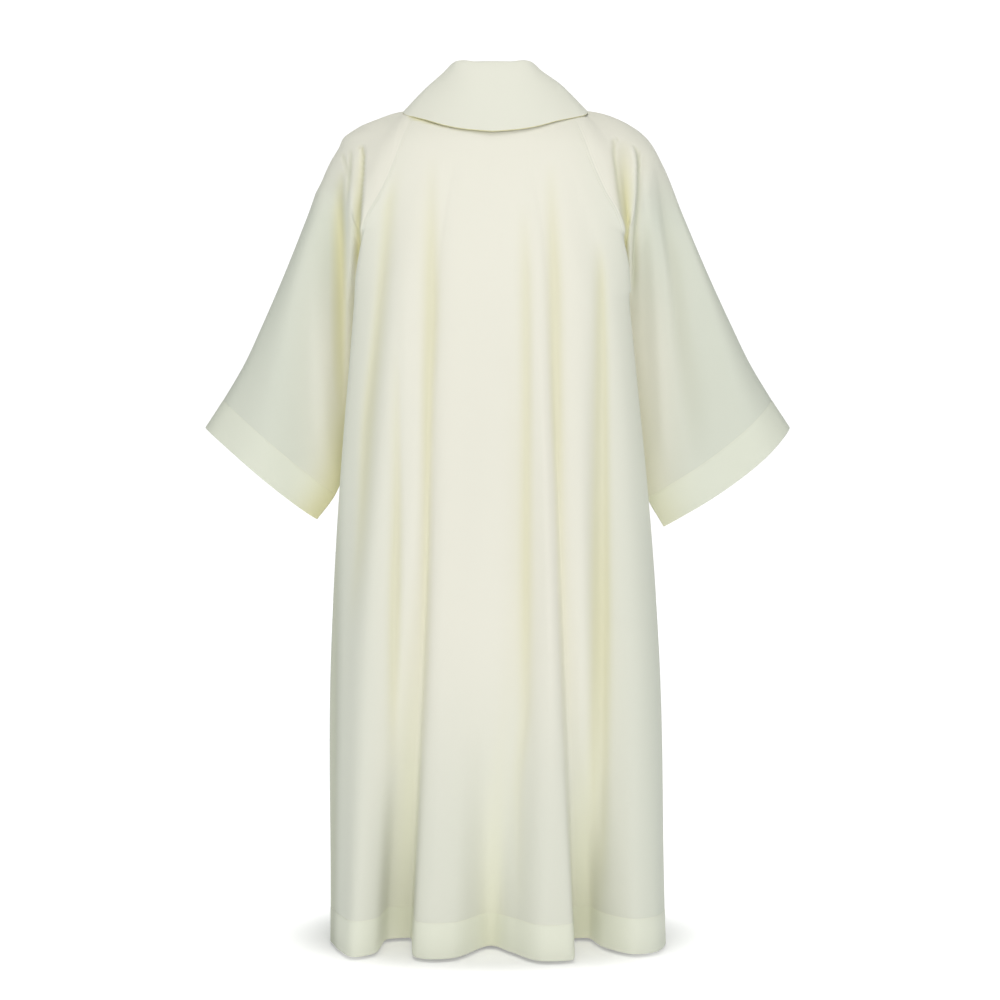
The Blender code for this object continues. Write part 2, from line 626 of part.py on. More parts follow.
def build():
    heights, shares, arm = row_places()
    columns = {
        "back": BACK.columns(BACK_COLUMNS_PER_FOLD),
        "front": FRONT.columns(FRONT_COLUMNS_PER_FOLD),
    }
    round_arm = np.linspace(0, 1, SLEEVE_COLUMNS + 1)
    sleeve_rows = np.concatenate([1 - shares[::-1], [1], arm])
    grids = {
        "back": np.concatenate([
            BACK.lower(columns["back"], heights),
            BACK.upper(columns["back"], shares),
        ]),
        "front": np.concatenate([
            FRONT.lower(columns["front"], heights),
            FRONT.upper(columns["front"], shares),
        ]),
        "sleeve_left": sleeve(-1, round_arm, sleeve_rows),
        "sleeve_right": sleeve(1, round_arm, sleeve_rows),
    }
    ids = {}
    count = 0
    for name, grid in grids.items():
        ids[name] = np.arange(count, count + grid[..., 0].size).reshape(grid.shape[:2])
        count += grid[..., 0].size
    below = len(heights)
    above = len(shares)
    # Seams: the panels that meet there use the same points
    ids["front"][:below, 0] = ids["back"][:below, 0]
    ids["front"][:below, -1] = ids["back"][:below, -1]
    for name, edge in (("sleeve_left", 0), ("sleeve_right", -1)):
        ids[name][: above + 1, 0] = ids["back"][below - 1 :, edge][::-1]
        ids[name][: above + 1, -1] = ids["front"][below - 1 :, edge][::-1]
        ids[name][above + 1 :, -1] = ids[name][above + 1 :, 0]
    step = COLLAR_STEP
    collar_grid = collar_rows([
        columns["back"][::step],
        round_arm[::step],
        columns["front"][::step],
        round_arm[::step],
    ])
    ring = np.concatenate([
        ids["back"][-1][:-1:step],
        ids["sleeve_right"][0][:-1:step],
        ids["front"][-1][::-1][:-1:step],
        ids["sleeve_left"][0][::-1][:-1:step],
    ])
    grids["collar"] = collar_grid
    free = collar_grid[1:, :, 0]
    ids["collar"] = np.concatenate([ring[None], np.arange(count, count + free.size).reshape(free.shape)])
    count += free.size
    points = np.zeros((count, 3))
    for name in ("collar", "sleeve_left", "sleeve_right", "front", "back"):
        points[ids[name]] = grids[name]
    # The collar spans two columns at a time, and the neck seam is straight between its points
    neck_line = np.concatenate([
        ids["back"][-1][:-1],
        ids["sleeve_right"][0][:-1],
        ids["front"][-1][::-1][:-1],
        ids["sleeve_left"][0][::-1][:-1],
    ])
    between = neck_line[1::step]
    points[between] = (points[neck_line[0::step]] + points[np.roll(neck_line, -step)[0::step]]) / 2
    faces = {name: grid_faces(ids[name], name == "collar") for name in grids}
    for name in ("front", "sleeve_right"):
        faces[name] = faces[name][:, ::-1]
    normals, mitre = shared_normals(points, faces)
    for values in (normals, mitre):
        values[between] = (values[neck_line[0::step]] + values[np.roll(neck_line, -step)[0::step]]) / 2

    scene = bpy.context.scene
    parts = bpy.data.collections.new("alb")
    scene.collection.children.link(parts)
    seams = {
        "back": ("first column", "last column", "last row"),
        "front": ("first column", "last column", "last row"),
        "sleeve_left": ("first column", "last column", "first row"),
        "sleeve_right": ("first column", "last column", "first row"),
        "collar": ("first row",),
    }
    for name, grid in grids.items():
        own = points[ids[name]]
        out = normals[ids[name]]
        turned = np.zeros(grid.shape[:2])
        if name in ("back", "front"):
            turned[:3] = TURN_UP
        elif name != "collar":
            turned[-3:] = TURN_UP
        outer, inner = walls(inset(own, out, seams[name]), out, mitre[ids[name]], turned)
        mesh = loft(name, outer, inner, name == "collar")
        mesh.materials.append(cloth_material(name))
        parts.objects.link(bpy.data.objects.new(name, mesh))


def cloth_material(name):
    material = bpy.data.materials.new(name + " cloth")
    material.use_nodes = True
    shader = material.node_tree.nodes["Principled BSDF"]
    shader.inputs["Base Color"].default_value = (*COLOURS[name], 1)
    shader.inputs["Roughness"].default_value = ROUGHNESS
    shader.inputs["Metallic"].default_value = 0
    return material


def main():
    for obj in list(bpy.data.objects):
        bpy.data.objects.remove(obj, do_unlink=True)
    build()


main()
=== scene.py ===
"""Draws the alb: its cloth with folds, turned-up hems, seams and stitches, in metres.

Every piece of cloth starts as a flat grid, as it lies on the cutting table. Its columns run round the
garment and its rows along it, and each point then moves to its place on the worn garment.
"""

import math
from collections import namedtuple

import bmesh
import bpy
import numpy as np
from mathutils import Matrix, Vector


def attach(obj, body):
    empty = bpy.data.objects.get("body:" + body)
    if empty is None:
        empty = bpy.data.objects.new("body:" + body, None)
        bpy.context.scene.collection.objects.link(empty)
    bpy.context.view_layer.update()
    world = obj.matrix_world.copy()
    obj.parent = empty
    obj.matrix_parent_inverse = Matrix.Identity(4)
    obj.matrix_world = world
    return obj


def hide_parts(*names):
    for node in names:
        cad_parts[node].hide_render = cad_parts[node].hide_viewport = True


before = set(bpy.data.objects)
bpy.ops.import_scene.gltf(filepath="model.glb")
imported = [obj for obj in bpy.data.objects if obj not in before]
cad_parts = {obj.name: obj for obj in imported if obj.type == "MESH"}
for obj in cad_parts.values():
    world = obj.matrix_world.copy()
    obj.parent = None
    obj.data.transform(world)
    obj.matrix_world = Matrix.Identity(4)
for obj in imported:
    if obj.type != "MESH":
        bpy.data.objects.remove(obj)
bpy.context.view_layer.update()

bl_info = {
    "name": "Alb",
    "version": (1, 0, 0),
    "blender": (4, 5, 0),
    "location": "3D View > Sidebar > Alb",
    "description": "Draws a long alb with a fold-over collar",
    "category": "Object",
}

# Lengths are in metres, and in millimetres in the tables of the garment's form
MM = 0.001

# Levels below the base of the neck
ARMPIT_Z = -330 * MM
MID_Z = -820 * MM
LOW_Z = -1130 * MM
HEM_Z = -1438 * MM

# Shares of the raglan seam from the armpit up: where it leaves the fold under the arm, between which the
# dents fade out, and between which the panel's middle drops below the seam
FOLD_TOP = 0.38
DENT_FADE = (0.30, 0.86)
MIDDLE_DROP = (0.45, 1.0)

# How round a panel is between its raglan seams, and how far out its lips and its other folds lie there, as
# shares of the half width
SIDE_ROUNDNESS = 2.3
LIP_SPREAD = 0.975
FOLD_SPREAD = 0.965

# The column this share of the width short of a seam shows which way the panel leaves it
SEAM_STEP = 2e-3

# How far the folds have moved sideways and deepened at LOW_Z, as a share of the way from MID_Z to HEM_Z
LOW_SHIFT = 0.46
LOW_DEPTH = 0.30

# Rows of the tables, in millimetres from the middle of the neck opening: x to the right, y away from the
# camera, which sees the back, and z up
Fold = namedtuple("Fold", "name chest_x chest_y mid_x mid_y hem_x hem_y dent")
Place = namedtuple("Place", "x y z")
Level = namedtuple("Level", "z y")
Side = namedtuple("Side", "z x")
Drop = namedtuple("Drop", "z depth")
Shift = namedtuple("Shift", "z inwards")

LEFT_SEAM = Fold("left side seam", -205, 0, -220, 0, -262, 0, 0)
RIGHT_SEAM = Fold("right side seam", 205, 0, 222, 0, 276, 0, 0)

# Crests and troughs of the cloth in millimetres, from the left side seam to the right one. The dent is how
# far a trough sinks in above the armpit, where it fades out towards the shoulders.
BACK_FOLDS = (
    LEFT_SEAM,
    Fold("left lip", -215, -36, -242, -28, -272, -28, 0),
    Fold("left edge", -238, -82, -274, -64, -279, -64, 0),
    Fold("left outer dip", -190, -117, -240, -106, -256, -122, 4),
    Fold("left lobe", -149, -137, -198, -146, -229, -160, 0),
    Fold("left lobe turn", -131, -138, -172, -139, -197, -134, 0),
    Fold("left hollow, outer", -114, -138, -140, -143, -183, -48, 1),
    Fold("left hollow, inner", -97, -134, -113, -128, -143, -36, 5),
    Fold("left flute turn", -87, -139, -102, -149, -131, -156, 0),
    Fold("left flute", -73, -143, -86, -157, -101, -172, -1),
    Fold("left flute inner side", -50, -145, -55, -157, -68, -165, 0),
    Fold("centre hollow", -5, -145, -5, -158, -5, -88, 0),
    Fold("right shallow trough", 50, -141, 57, -147, 32, -130, 2),
    Fold("right flute", 73, -143, 90, -167, 86, -185, -1),
    Fold("right flute turn", 85, -141, 104, -162, 132, -176, 0),
    Fold("right hollow, inner", 97, -134, 115, -138, 141, -40, 5),
    Fold("right hollow, outer", 137, -136, 146, -149, 163, -38, 0),
    Fold("right lobe turn", 182, -121, 180, -126, 186, -94, 4),
    Fold("right lobe", 200, -116, 224, -134, 238, -142, 0),
    Fold("right lobe side", 217, -104, 256, -114, 275, -124, 0),
    Fold("right edge", 233, -82, 277, -64, 295, -64, 0),
    Fold("right lip", 215, -36, 243, -28, 288, -24, 0),
    RIGHT_SEAM,
)
FRONT_FOLDS = (
    LEFT_SEAM,
    Fold("left lip", -215, 34, -242, 28, -272, 28, 0),
    Fold("left edge", -234, 78, -266, 66, -276, 72, 0),
    Fold("left lobe", -192, 114, -226, 128, -236, 146, 0),
    Fold("left hollow", -146, 128, -166, 122, -176, 84, 4),
    Fold("left flute", -100, 136, -112, 150, -118, 176, -1),
    Fold("left trough", -56, 138, -62, 140, -60, 112, 3),
    Fold("centre flute", -6, 141, -4, 158, 4, 182, 0),
    Fold("right trough", 48, 138, 56, 143, 66, 116, 2),
    Fold("right flute", 96, 136, 108, 152, 118, 179, -1),
    Fold("right hollow", 146, 128, 164, 123, 172, 80, 4),
    Fold("right lobe", 190, 114, 222, 127, 238, 142, 0),
    Fold("right edge", 231, 78, 268, 66, 290, 66, 0),
    Fold("right lip", 215, 34, 243, 28, 288, 24, 0),
    RIGHT_SEAM,
)

# Seam between body and sleeve on the right, from the armpit to the neck seam, in millimetres
BACK_RAGLAN = (
    Place(205, 0, -330),
    Place(207, -20, -296),
    Place(211, -46, -264),
    Place(218, -78, -241),
    Place(222, -101, -224),
    Place(212, -113, -197),
    Place(190, -117, -160),
    Place(168, -113, -109),
    Place(154, -103, -68),
    Place(142, -83, -36),
    Place(129, -52, -10),
)
FRONT_RAGLAN = (
    Place(205, 0, -330),
    Place(207, 20, -298),
    Place(211, 44, -268),
    Place(217, 73, -247),
    Place(220, 94, -230),
    Place(209, 106, -203),
    Place(188, 111, -167),
    Place(167, 108, -122),
    Place(152, 97, -82),
    Place(139, 76, -50),
    Place(122, 46, -22),
)

# Middle of the back and of the front, from the armpit's level to the neck seam, in millimetres
BACK_MIDDLE = (
    Level(-330, -145),
    Level(-200, -144),
    Level(-150, -140),
    Level(-100, -131),
    Level(-60, -117),
    Level(-24, -86),
)
FRONT_MIDDLE = (
    Level(-330, 141),
    Level(-240, 140),
    Level(-190, 137),
    Level(-150, 131),
    Level(-120, 122),
    Level(-92, 106),
)

# Top line of the right sleeve, from the neck seam over the shoulder to the cuff
OVERARM = (
    Place(134, -2, -4),
    Place(161, 0, -3),
    Place(220, 0, -19),
    Place(269, 0, -52),
    Place(295, 0, -96),
    Place(331, 0, -185),
    Place(374, 2, -286),
    Place(417, 4, -379),
    Place(449, 6, -444),
    Place(481, 8, -497),
    Place(519, 10, -555),
)

# Which place of that line, counted from 0, the armpit's row ends at
ARMPIT_ON_OVERARM = 5

# Underarm seam of the right sleeve, from the armpit to the cuff
UNDERARM = (
    Place(205, 0, -330),
    Place(218, 0, -334),
    Place(228, 0, -350),
    Place(234, 0, -400),
    Place(241, 0, -490),
    Place(251, 2, -590),
    Place(269, 3, -676),
    Place(299, 4, -729),
)

# How far a sleeve bulges to the back and to the front: at its underarm seam, and at its top line on the
# arm, on the shoulder and beside the neck
SLEEVE_DEPTH_LOW = 56 * MM
SLEEVE_DEPTH_TOP = 84 * MM
SHOULDER_DEPTH = 62 * MM
NECK_SIDE_DEPTH = 20 * MM

# Between which rows a sleeve deepens from the neck to the shoulder and from there to the arm. Row 0 is the
# neck seam, 1 the armpit and 2 the cuff.
SHOULDER_DEEPENS = (0.0, 0.35)
ARM_DEEPENS = (0.7, 1.5)

# A sleeve leaves its raglan seam along the body's cloth, from these shares of the seam up. Further down it
# comes out of the fold under the arm, leaning this much outwards and to the back or the front.
OVER_BODY = (0.30, 0.46)
FOLD_OUT = 0.25
FOLD_ASIDE = 0.12

# How far its curve follows that direction in the fold and above it, as shares of the way to the top line,
# and which share of the depth at the underarm seam it has at the armpit
HANDLE_IN_FOLD = 0.34
HANDLE_ON_TOP = 0.36
ARMPIT_DEPTH = 0.35

# How far a cuff sags below a straight line in the middle of each half, between these rows. The left one
# lies a little above that line.
CUFF_SAG = 9 * MM
LEFT_CUFF_SAG = -3 * MM
SAG_ROWS = (1.5, 2.0)

# The left sleeve hangs closer, from a shoulder that sits a little further in and lower, and the lower
# corner of its cuff lies further out and up
LEFT_SHOULDER_IN = 6 * MM
LEFT_SHOULDER_DOWN = 6 * MM
LEFT_SHOULDER_ROWS = (0.0, 0.3)
LEFT_LOWERED_ROWS = (0.3, 0.5)
LEFT_CUFF_IN = 10 * MM
LEFT_CUFF_ROWS = (0.6, 2.0)
LEFT_CORNER_OUT = 9 * MM
LEFT_CORNER_UP = 13 * MM

# Long folds of a sleeve: which side it is on, its share of the way from the seam to the top line at the
# armpit's row and at the cuff, how far its crest stands out in millimetres, and its width as a share
SleeveFold = namedtuple("SleeveFold", "side at_armpit at_cuff height width")
SLEEVE_FOLDS = (
    SleeveFold(1, 0.50, 0.20, 5, 0.13),
    SleeveFold(1, 0.74, 0.40, -6, 0.13),
    SleeveFold(1, 0.93, 0.62, 4, 0.14),
    SleeveFold(-1, 0.45, 0.14, -4, 0.14),
    SleeveFold(-1, 0.74, 0.42, 6, 0.16),
    SleeveFold(-1, 0.95, 0.70, -3, 0.15),
)
# Between which rows, counted from the armpit's, they come up
SLEEVE_FOLDS_RISE = (-0.5, 0.1)

# The cloth breaks over the upper arm: from this line outwards it drops back. Distances from the middle at
# heights below the neck, in millimetres.
BREAK_LINE_LEFT = (Side(-262, 235), Side(-222, 226), Side(-165, 222), Side(-60, 222))
BREAK_LINE_RIGHT = (Side(-262, 229), Side(-222, 223), Side(-165, 217), Side(-60, 209))

# How deep it drops at each height, in millimetres
BREAK_DEPTHS = (
    Drop(-330, 0),
    Drop(-262, 2),
    Drop(-215, 8),
    Drop(-165, 8),
    Drop(-110, 5),
    Drop(-55, 0),
)

# How far past the line the drop is full and where it has ended, the last row that has it, and its share on
# the front
BREAK_WIDTH = 12 * MM
BREAK_REACH = 85 * MM
BREAK_LAST_ROW = 1.6
FRONT_BREAK = 0.7

# The collar's rolled top line: half its width, how far it reaches to the back and to the front, how square
# it is on both, its heights there, from where and how steeply it falls to the front, and the roll's radius
ROLL_HALF_WIDTH = 79 * MM
ROLL_BACK_Y = -62 * MM
ROLL_FRONT_Y = 128 * MM
ROLL_SQUARENESS_BACK = 2.6
ROLL_SQUARENESS_FRONT = 2.1
ROLL_TOP_Z = 70 * MM
ROLL_FRONT_Z = -28 * MM
ROLL_LEVEL_Y = -36 * MM
ROLL_FALL = 1.6
ROLL_RADIUS = 4.5 * MM

# How far the stand's middle leans in and up, and how far the fall arches
STAND_LEAN = 2 * MM
COLLAR_CROWN = 1.5 * MM

# How far the sides of the collar shift to the right, between these distances from the middle and heights
COLLAR_LEFT_SHIFT = 2 * MM
COLLAR_RIGHT_SHIFT = 6 * MM
COLLAR_SIDE = (0.03, 0.08)
COLLAR_SIDE_FROM = (-0.045, -0.015)
COLLAR_SIDE_UNTIL = (0.035, 0.07)

# How far the tips of its fall drop, between these shares of its rows and distances from the middle
COLLAR_TIP_DROP = 3.5 * MM
COLLAR_TIP_ROWS = (0.5, 1)
COLLAR_TIP = (0.10, 0.15)

# How far the corners of its roll rise, between these distances from the middle and above these heights
COLLAR_CORNER_LIFT = 4 * MM
COLLAR_CORNER_FROM = (0.028, 0.056)
COLLAR_CORNER_UNTIL = (0.062, 0.076)
COLLAR_CORNER_RISE = (0.045, 0.066)

# How far the collar's edge lies from the neck seam and outside the cloth under it, in millimetres, at each
# share of the half ring from the back
Reach = namedtuple("Reach", "share length clear")
COLLAR_REACH = (
    Reach(0.0, 52, 5),
    Reach(0.25, 43, 3.4),
    Reach(0.4, 27, 3.2),
    Reach(0.5, 18, 3.6),
    Reach(0.66, 34, 4.5),
    Reach(0.85, 55, 5),
    Reach(1.0, 60, 5),
)

# Grids of the drawn cloth
BODY_COLUMNS = 208
SLEEVE_COLUMNS = 244
BODY_ROWS = 128
RAGLAN_ROWS = 66
ARM_ROWS = 84

# Length of a sleeve from the armpit's row to the cuff
SLEEVE_LENGTH = 410 * MM

# Columns close to a seam, as shares of the width
NEAR_SEAM = (0.0, 0.0018, 0.0036, 0.006, 0.009)

# Rows of a turned-up band in millimetres: close to its edge, from there on evenly, and around its end
NEAR_EDGE = (0, 1, 2.2, 4, 8, 14)
BAND_ROWS = 6
NEAR_BAND_END = (-1.2, 0, 1.2, 3)
BAND_END_GAP = 3 * MM

# The collar's columns for each fold of a panel and over each shoulder, its rows up to this share of its
# profile and the last ones by its outer edge, and where on the profile its eight drawn points lie
COLLAR_FOLD_COLUMNS = 4
COLLAR_SHOULDER_COLUMNS = 41
COLLAR_PROFILE_ROWS = 34
COLLAR_PROFILE_END = 0.97
COLLAR_NEAR_EDGE = (0.982, 0.99, 0.996, 1)
COLLAR_KNOTS = (0, 0.16, 0.33, 0.40, 0.47, 0.66, 0.84, 1.0)

# The collar's edge is measured on rows of the panels that go down to this share of the raglan seam
COLLAR_FAN_END = 0.55
COLLAR_FAN_ROWS = 46

# Creases that lie on top of the main folds, as heights, distances from the middle, how far the cloth stands
# out, and the widths on both sides, in millimetres. Each one fades out at its ends. Yellow shade is how much
# yellower, and shade how much greyer, the cloth in a trough is painted, both as painted shade.
CreasePlace = namedtuple("CreasePlace", "z x height left right")
Crease = namedtuple("Crease", "name gold places shade", defaults=(0,))
BACK_CREASES = (
    Crease("trough by the left edge", 1, (
        CreasePlace(-100, -166, 0, 10, 12),
        CreasePlace(-150, -173, -3, 10, 13),
        CreasePlace(-200, -177, -4, 10, 13),
        CreasePlace(-390, -195, -5, 10, 13),
        CreasePlace(-547, -212, -6, 10, 14),
        CreasePlace(-713, -221, -4, 10, 14),
        CreasePlace(-900, -236, 0, 10, 14),
    )),
    Crease("trough left of the middle", 1, (
        CreasePlace(-100, -102, 0, 12, 10),
        CreasePlace(-160, -103, -2, 13, 11),
        CreasePlace(-330, -103, -6, 14, 11),
        CreasePlace(-513, -108, -6, 11, 8),
        CreasePlace(-647, -110, -5, 9, 7),
        CreasePlace(-913, -113, -3, 9, 7),
        CreasePlace(-1100, -119, 0, 9, 7),
    )),
    Crease("soft trough down the middle", 1, (
        CreasePlace(-180, 52, 0, 12, 10),
        CreasePlace(-330, 56, -4, 12, 10),
        CreasePlace(-600, 57, -5, 11, 9),
        CreasePlace(-1013, 56, -4, 12, 9),
        CreasePlace(-1180, 42, -3, 12, 9),
        CreasePlace(-1370, 44, 0, 12, 9),
    )),
    Crease("trough right of the middle", 1, (
        CreasePlace(-110, 97, 0, 10, 10),
        CreasePlace(-160, 98, -2, 11, 11),
        CreasePlace(-330, 104, -6, 12, 11),
        CreasePlace(-513, 106, -6, 10, 10),
        CreasePlace(-700, 110, -4, 7, 9),
        CreasePlace(-1013, 120, -2, 7, 9),
        CreasePlace(-1150, 126, 0, 7, 9),
    )),
    Crease("trough by the right edge", 1, (
        CreasePlace(-240, 178, 0, 11, 8),
        CreasePlace(-322, 182, -5, 12, 9),
        CreasePlace(-593, 184, -8, 16, 10),
        CreasePlace(-860, 184, -10, 18, 11),
        CreasePlace(-1013, 183, -10, 18, 11),
        CreasePlace(-1250, 182, -6, 18, 11),
        CreasePlace(-1410, 180, 0, 18, 11),
    )),
    Crease("trough in the left lobe", 1, (
        CreasePlace(-400, -158, 0, 10, 10),
        CreasePlace(-520, -159, -3, 10, 9),
        CreasePlace(-680, -160, -5, 10, 8),
        CreasePlace(-846, -163, -7, 11, 9),
        CreasePlace(-1000, -166, -5, 11, 9),
        CreasePlace(-1150, -168, 0, 11, 9),
    )),
    Crease("left edge turned away", 0, (
        CreasePlace(-520, -262, 0, 14, 9),
        CreasePlace(-700, -268, -8, 14, 9),
        CreasePlace(-1000, -270, -14, 14, 9),
        CreasePlace(-1300, -272, -15, 14, 9),
        CreasePlace(-1438, -274, -14, 14, 9),
    ), 0.9),
    Crease("ridge along the left flute", 1, (
        CreasePlace(-250, -146, 0, 10, 10),
        CreasePlace(-513, -148, 2, 12, 12),
        CreasePlace(-700, -150, 0, 12, 12),
    )),
    Crease("ridge along the right flute", 1, (
        CreasePlace(-350, 76, 0, 9, 9),
        CreasePlace(-650, 87, 3, 9, 9),
        CreasePlace(-1124, 99, 2, 9, 9),
        CreasePlace(-1330, 103, 0, 9, 9),
    )),
)
FRONT_CREASES = (
    Crease("trough by the left edge", 1, (
        CreasePlace(-220, -168, 0, 9, 9),
        CreasePlace(-420, -186, -5, 12, 10),
        CreasePlace(-760, -196, -4, 12, 10),
        CreasePlace(-960, -204, 0, 12, 10),
    )),
    Crease("trough left of the middle", 1, (
        CreasePlace(-170, -84, 0, 7, 7),
        CreasePlace(-380, -86, -4, 9, 7),
        CreasePlace(-700, -92, -4, 10, 8),
        CreasePlace(-1040, -96, 0, 10, 8),
    )),
    Crease("soft trough down the middle", 1, (
        CreasePlace(-260, 20, 0, 10, 9),
        CreasePlace(-620, 24, -4, 11, 9),
        CreasePlace(-1060, 30, -3, 12, 9),
        CreasePlace(-1300, 30, 0, 12, 9),
    )),
    Crease("trough right of the middle", 1, (
        CreasePlace(-180, 92, 0, 7, 7),
        CreasePlace(-400, 96, -4, 7, 9),
        CreasePlace(-760, 104, -4, 8, 9),
        CreasePlace(-1080, 112, 0, 8, 9),
    )),
    Crease("trough by the right edge", 1, (
        CreasePlace(-250, 174, 0, 9, 9),
        CreasePlace(-480, 182, -5, 10, 12),
        CreasePlace(-840, 190, -4, 10, 12),
        CreasePlace(-1060, 196, 0, 10, 12),
    )),
)

# Creases of the sleeves, on their back and on their front
ARM_BACK_CREASES = (
    Crease("hollow down the right shoulder", 1, (
        CreasePlace(-320, 231, 0, 4, 5),
        CreasePlace(-285, 229, -8, 4, 5),
        CreasePlace(-255, 228, -17, 5, 5),
        CreasePlace(-225, 228, -18, 6, 6),
        CreasePlace(-195, 226, -15, 9, 8),
        CreasePlace(-145, 224, -10, 14, 12),
        CreasePlace(-100, 222, -5, 15, 14),
        CreasePlace(-75, 222, -2, 13, 13),
        CreasePlace(-62, 224, 0, 10, 10),
    )),
    Crease("line down its left side", 1, (
        CreasePlace(-230, 221, 0, 3.2, 3.4),
        CreasePlace(-191, 217, -3, 3.2, 3.4),
        CreasePlace(-157, 212, -4, 3.2, 3.4),
        CreasePlace(-123, 208, -4, 3.2, 3.4),
        CreasePlace(-89, 205, -4, 3.2, 3.4),
        CreasePlace(-72, 206, -4, 3.2, 3.4),
        CreasePlace(-64, 211, -2, 3.2, 3.4),
        CreasePlace(-60, 216, 0, 3.2, 3.4),
    ), 1.3),
    Crease("thin rib right of it", 1, (
        CreasePlace(-270, 229, 0, 3, 3),
        CreasePlace(-235, 232, 4, 3, 3),
        CreasePlace(-190, 239, 5, 3, 3),
        CreasePlace(-145, 243, 5, 3, 3),
        CreasePlace(-100, 243, 4, 3, 3),
        CreasePlace(-75, 240, 0, 4, 4),
    )),
    Crease("line beside the rib", 1, (
        CreasePlace(-340, 245, 0, 3, 7),
        CreasePlace(-290, 244, -4, 3, 7),
        CreasePlace(-235, 243, -5, 3, 6),
        CreasePlace(-190, 244, -5, 3, 5),
        CreasePlace(-145, 246, -5, 3, 5),
        CreasePlace(-110, 247, -5, 2, 4),
        CreasePlace(-85, 245, -4, 2, 4),
        CreasePlace(-72, 242, 0, 3, 4),
    ), 2),
    Crease("short line that joins it", 1, (
        CreasePlace(-122, 247, 0, 2, 2),
        CreasePlace(-105, 249, -3, 2, 2),
        CreasePlace(-88, 251, -2, 2, 2),
        CreasePlace(-78, 252, 0, 3, 3),
    ), 2),
    Crease("valley right of the rib", 0.3, (
        CreasePlace(-330, 244, 0, 5, 14),
        CreasePlace(-235, 246, -4, 5, 12),
        CreasePlace(-145, 255, -4, 5, 12),
        CreasePlace(-100, 256, -3, 5, 12),
        CreasePlace(-76, 256, 0, 5, 12),
    )),
    Crease("hollow down the left shoulder", 1, (
        CreasePlace(-380, -246, 0, 11, 5),
        CreasePlace(-330, -241, -1, 10, 4),
        CreasePlace(-285, -237, -6, 7, 3),
        CreasePlace(-241, -230, -16, 8, 3),
        CreasePlace(-194, -225, -14, 12, 2.5),
        CreasePlace(-152, -222, -8, 13, 2.2),
        CreasePlace(-120, -220, -6, 12, 2.2),
        CreasePlace(-90, -220, -5, 8, 2.2),
        CreasePlace(-78, -224, -4, 6, 2.2),
        CreasePlace(-70, -229, 0, 5, 4),
    )),
    Crease("line of the left hook", 1, (
        CreasePlace(-235, -228, 0, 3, 2.6),
        CreasePlace(-194, -224, -2, 3, 2.6),
        CreasePlace(-152, -222, -3, 3, 2.6),
        CreasePlace(-110, -221, -4, 3, 2.6),
        CreasePlace(-89, -221, -4, 3, 2.6),
        CreasePlace(-80, -224, -3, 3, 3),
        CreasePlace(-75, -229, 0, 4, 4),
    ), 1.2),
    Crease("thin line left of it", 1, (
        CreasePlace(-190, -249, 0, 3, 3),
        CreasePlace(-145, -246, -3, 3, 3),
        CreasePlace(-112, -244, -4, 3, 3),
        CreasePlace(-92, -244, -3, 3, 3),
        CreasePlace(-76, -247, 0, 3, 3),
    ), 1.8),
    Crease("short branch of that line", 1, (
        CreasePlace(-135, -247, 0, 3, 3),
        CreasePlace(-112, -251, -3, 3, 3),
        CreasePlace(-94, -256, -3, 3, 3),
        CreasePlace(-82, -261, 0, 3, 3),
    ), 1.8),
    Crease("ridge beside the left hollow", 1, (
        CreasePlace(-350, -250, 0, 6, 6),
        CreasePlace(-280, -247, 3, 6, 6),
        CreasePlace(-190, -244, 3, 6, 6),
        CreasePlace(-140, -240, 0, 6, 6),
    )),
    Crease("trough along the left arm", 1.4, (
        CreasePlace(-640, -262, 0, 16, 11),
        CreasePlace(-520, -264, -6, 16, 11),
        CreasePlace(-400, -265, -8, 15, 10),
        CreasePlace(-270, -264, -9, 14, 9),
        CreasePlace(-190, -262, -8, 13, 8),
        CreasePlace(-150, -260, -5, 11, 7),
        CreasePlace(-110, -258, 0, 10, 6),
    )),
    Crease("ridge along the left arm", 1, (
        CreasePlace(-640, -292, 0, 16, 16),
        CreasePlace(-545, -294, 4, 16, 16),
        CreasePlace(-324, -302, 4, 16, 16),
        CreasePlace(-200, -290, 0, 14, 14),
    )),
    Crease("ridge along the right arm", 1, (
        CreasePlace(-640, 298, 0, 14, 14),
        CreasePlace(-545, 292, 4, 14, 14),
        CreasePlace(-341, 280, 4, 12, 12),
        CreasePlace(-171, 268, 3, 9, 9),
        CreasePlace(-110, 262, 0, 8, 8),
    )),
    Crease("valley along the right arm", 0, (
        CreasePlace(-620, 352, 0, 18, 26),
        CreasePlace(-511, 340, -7, 20, 28),
        CreasePlace(-392, 322, -10, 15, 22),
        CreasePlace(-273, 309, -10, 11, 17),
        CreasePlace(-205, 297, -7, 9, 14),
        CreasePlace(-128, 286, -3, 9, 12),
        CreasePlace(-90, 280, 0, 10, 10),
    ), 0.7),
)
ARM_FRONT_CREASES = (
    Crease("hollow down the right shoulder", 1, (
        CreasePlace(-360, 240, 0, 6, 9),
        CreasePlace(-280, 234, -9, 6, 9),
        CreasePlace(-190, 226, -9, 6, 10),
        CreasePlace(-110, 219, -5, 7, 9),
        CreasePlace(-65, 222, 0, 8, 9),
    )),
    Crease("hollow down the left shoulder", 1, (
        CreasePlace(-370, -238, 0, 9, 6),
        CreasePlace(-290, -232, -10, 10, 6),
        CreasePlace(-200, -225, -9, 11, 6),
        CreasePlace(-120, -220, -5, 11, 7),
        CreasePlace(-70, -222, 0, 9, 8),
    )),
)

# How far folds are rounded off across the body, at the hem and from the waist up, and between which heights
SOFT_HEM = 4 * MM
SOFT_WAIST = 10 * MM
SOFT_RISE = (-1.38, -1.0)

# How far the skirt is widened at its sides, around which height, how far up and down from it, and between
# which distances from the middle
SKIRT_OUT = 6 * MM
SKIRT_OUT_Z = -1.06
SKIRT_OUT_REACH = 0.2
SKIRT_OUT_FROM = (0.15, 0.26)

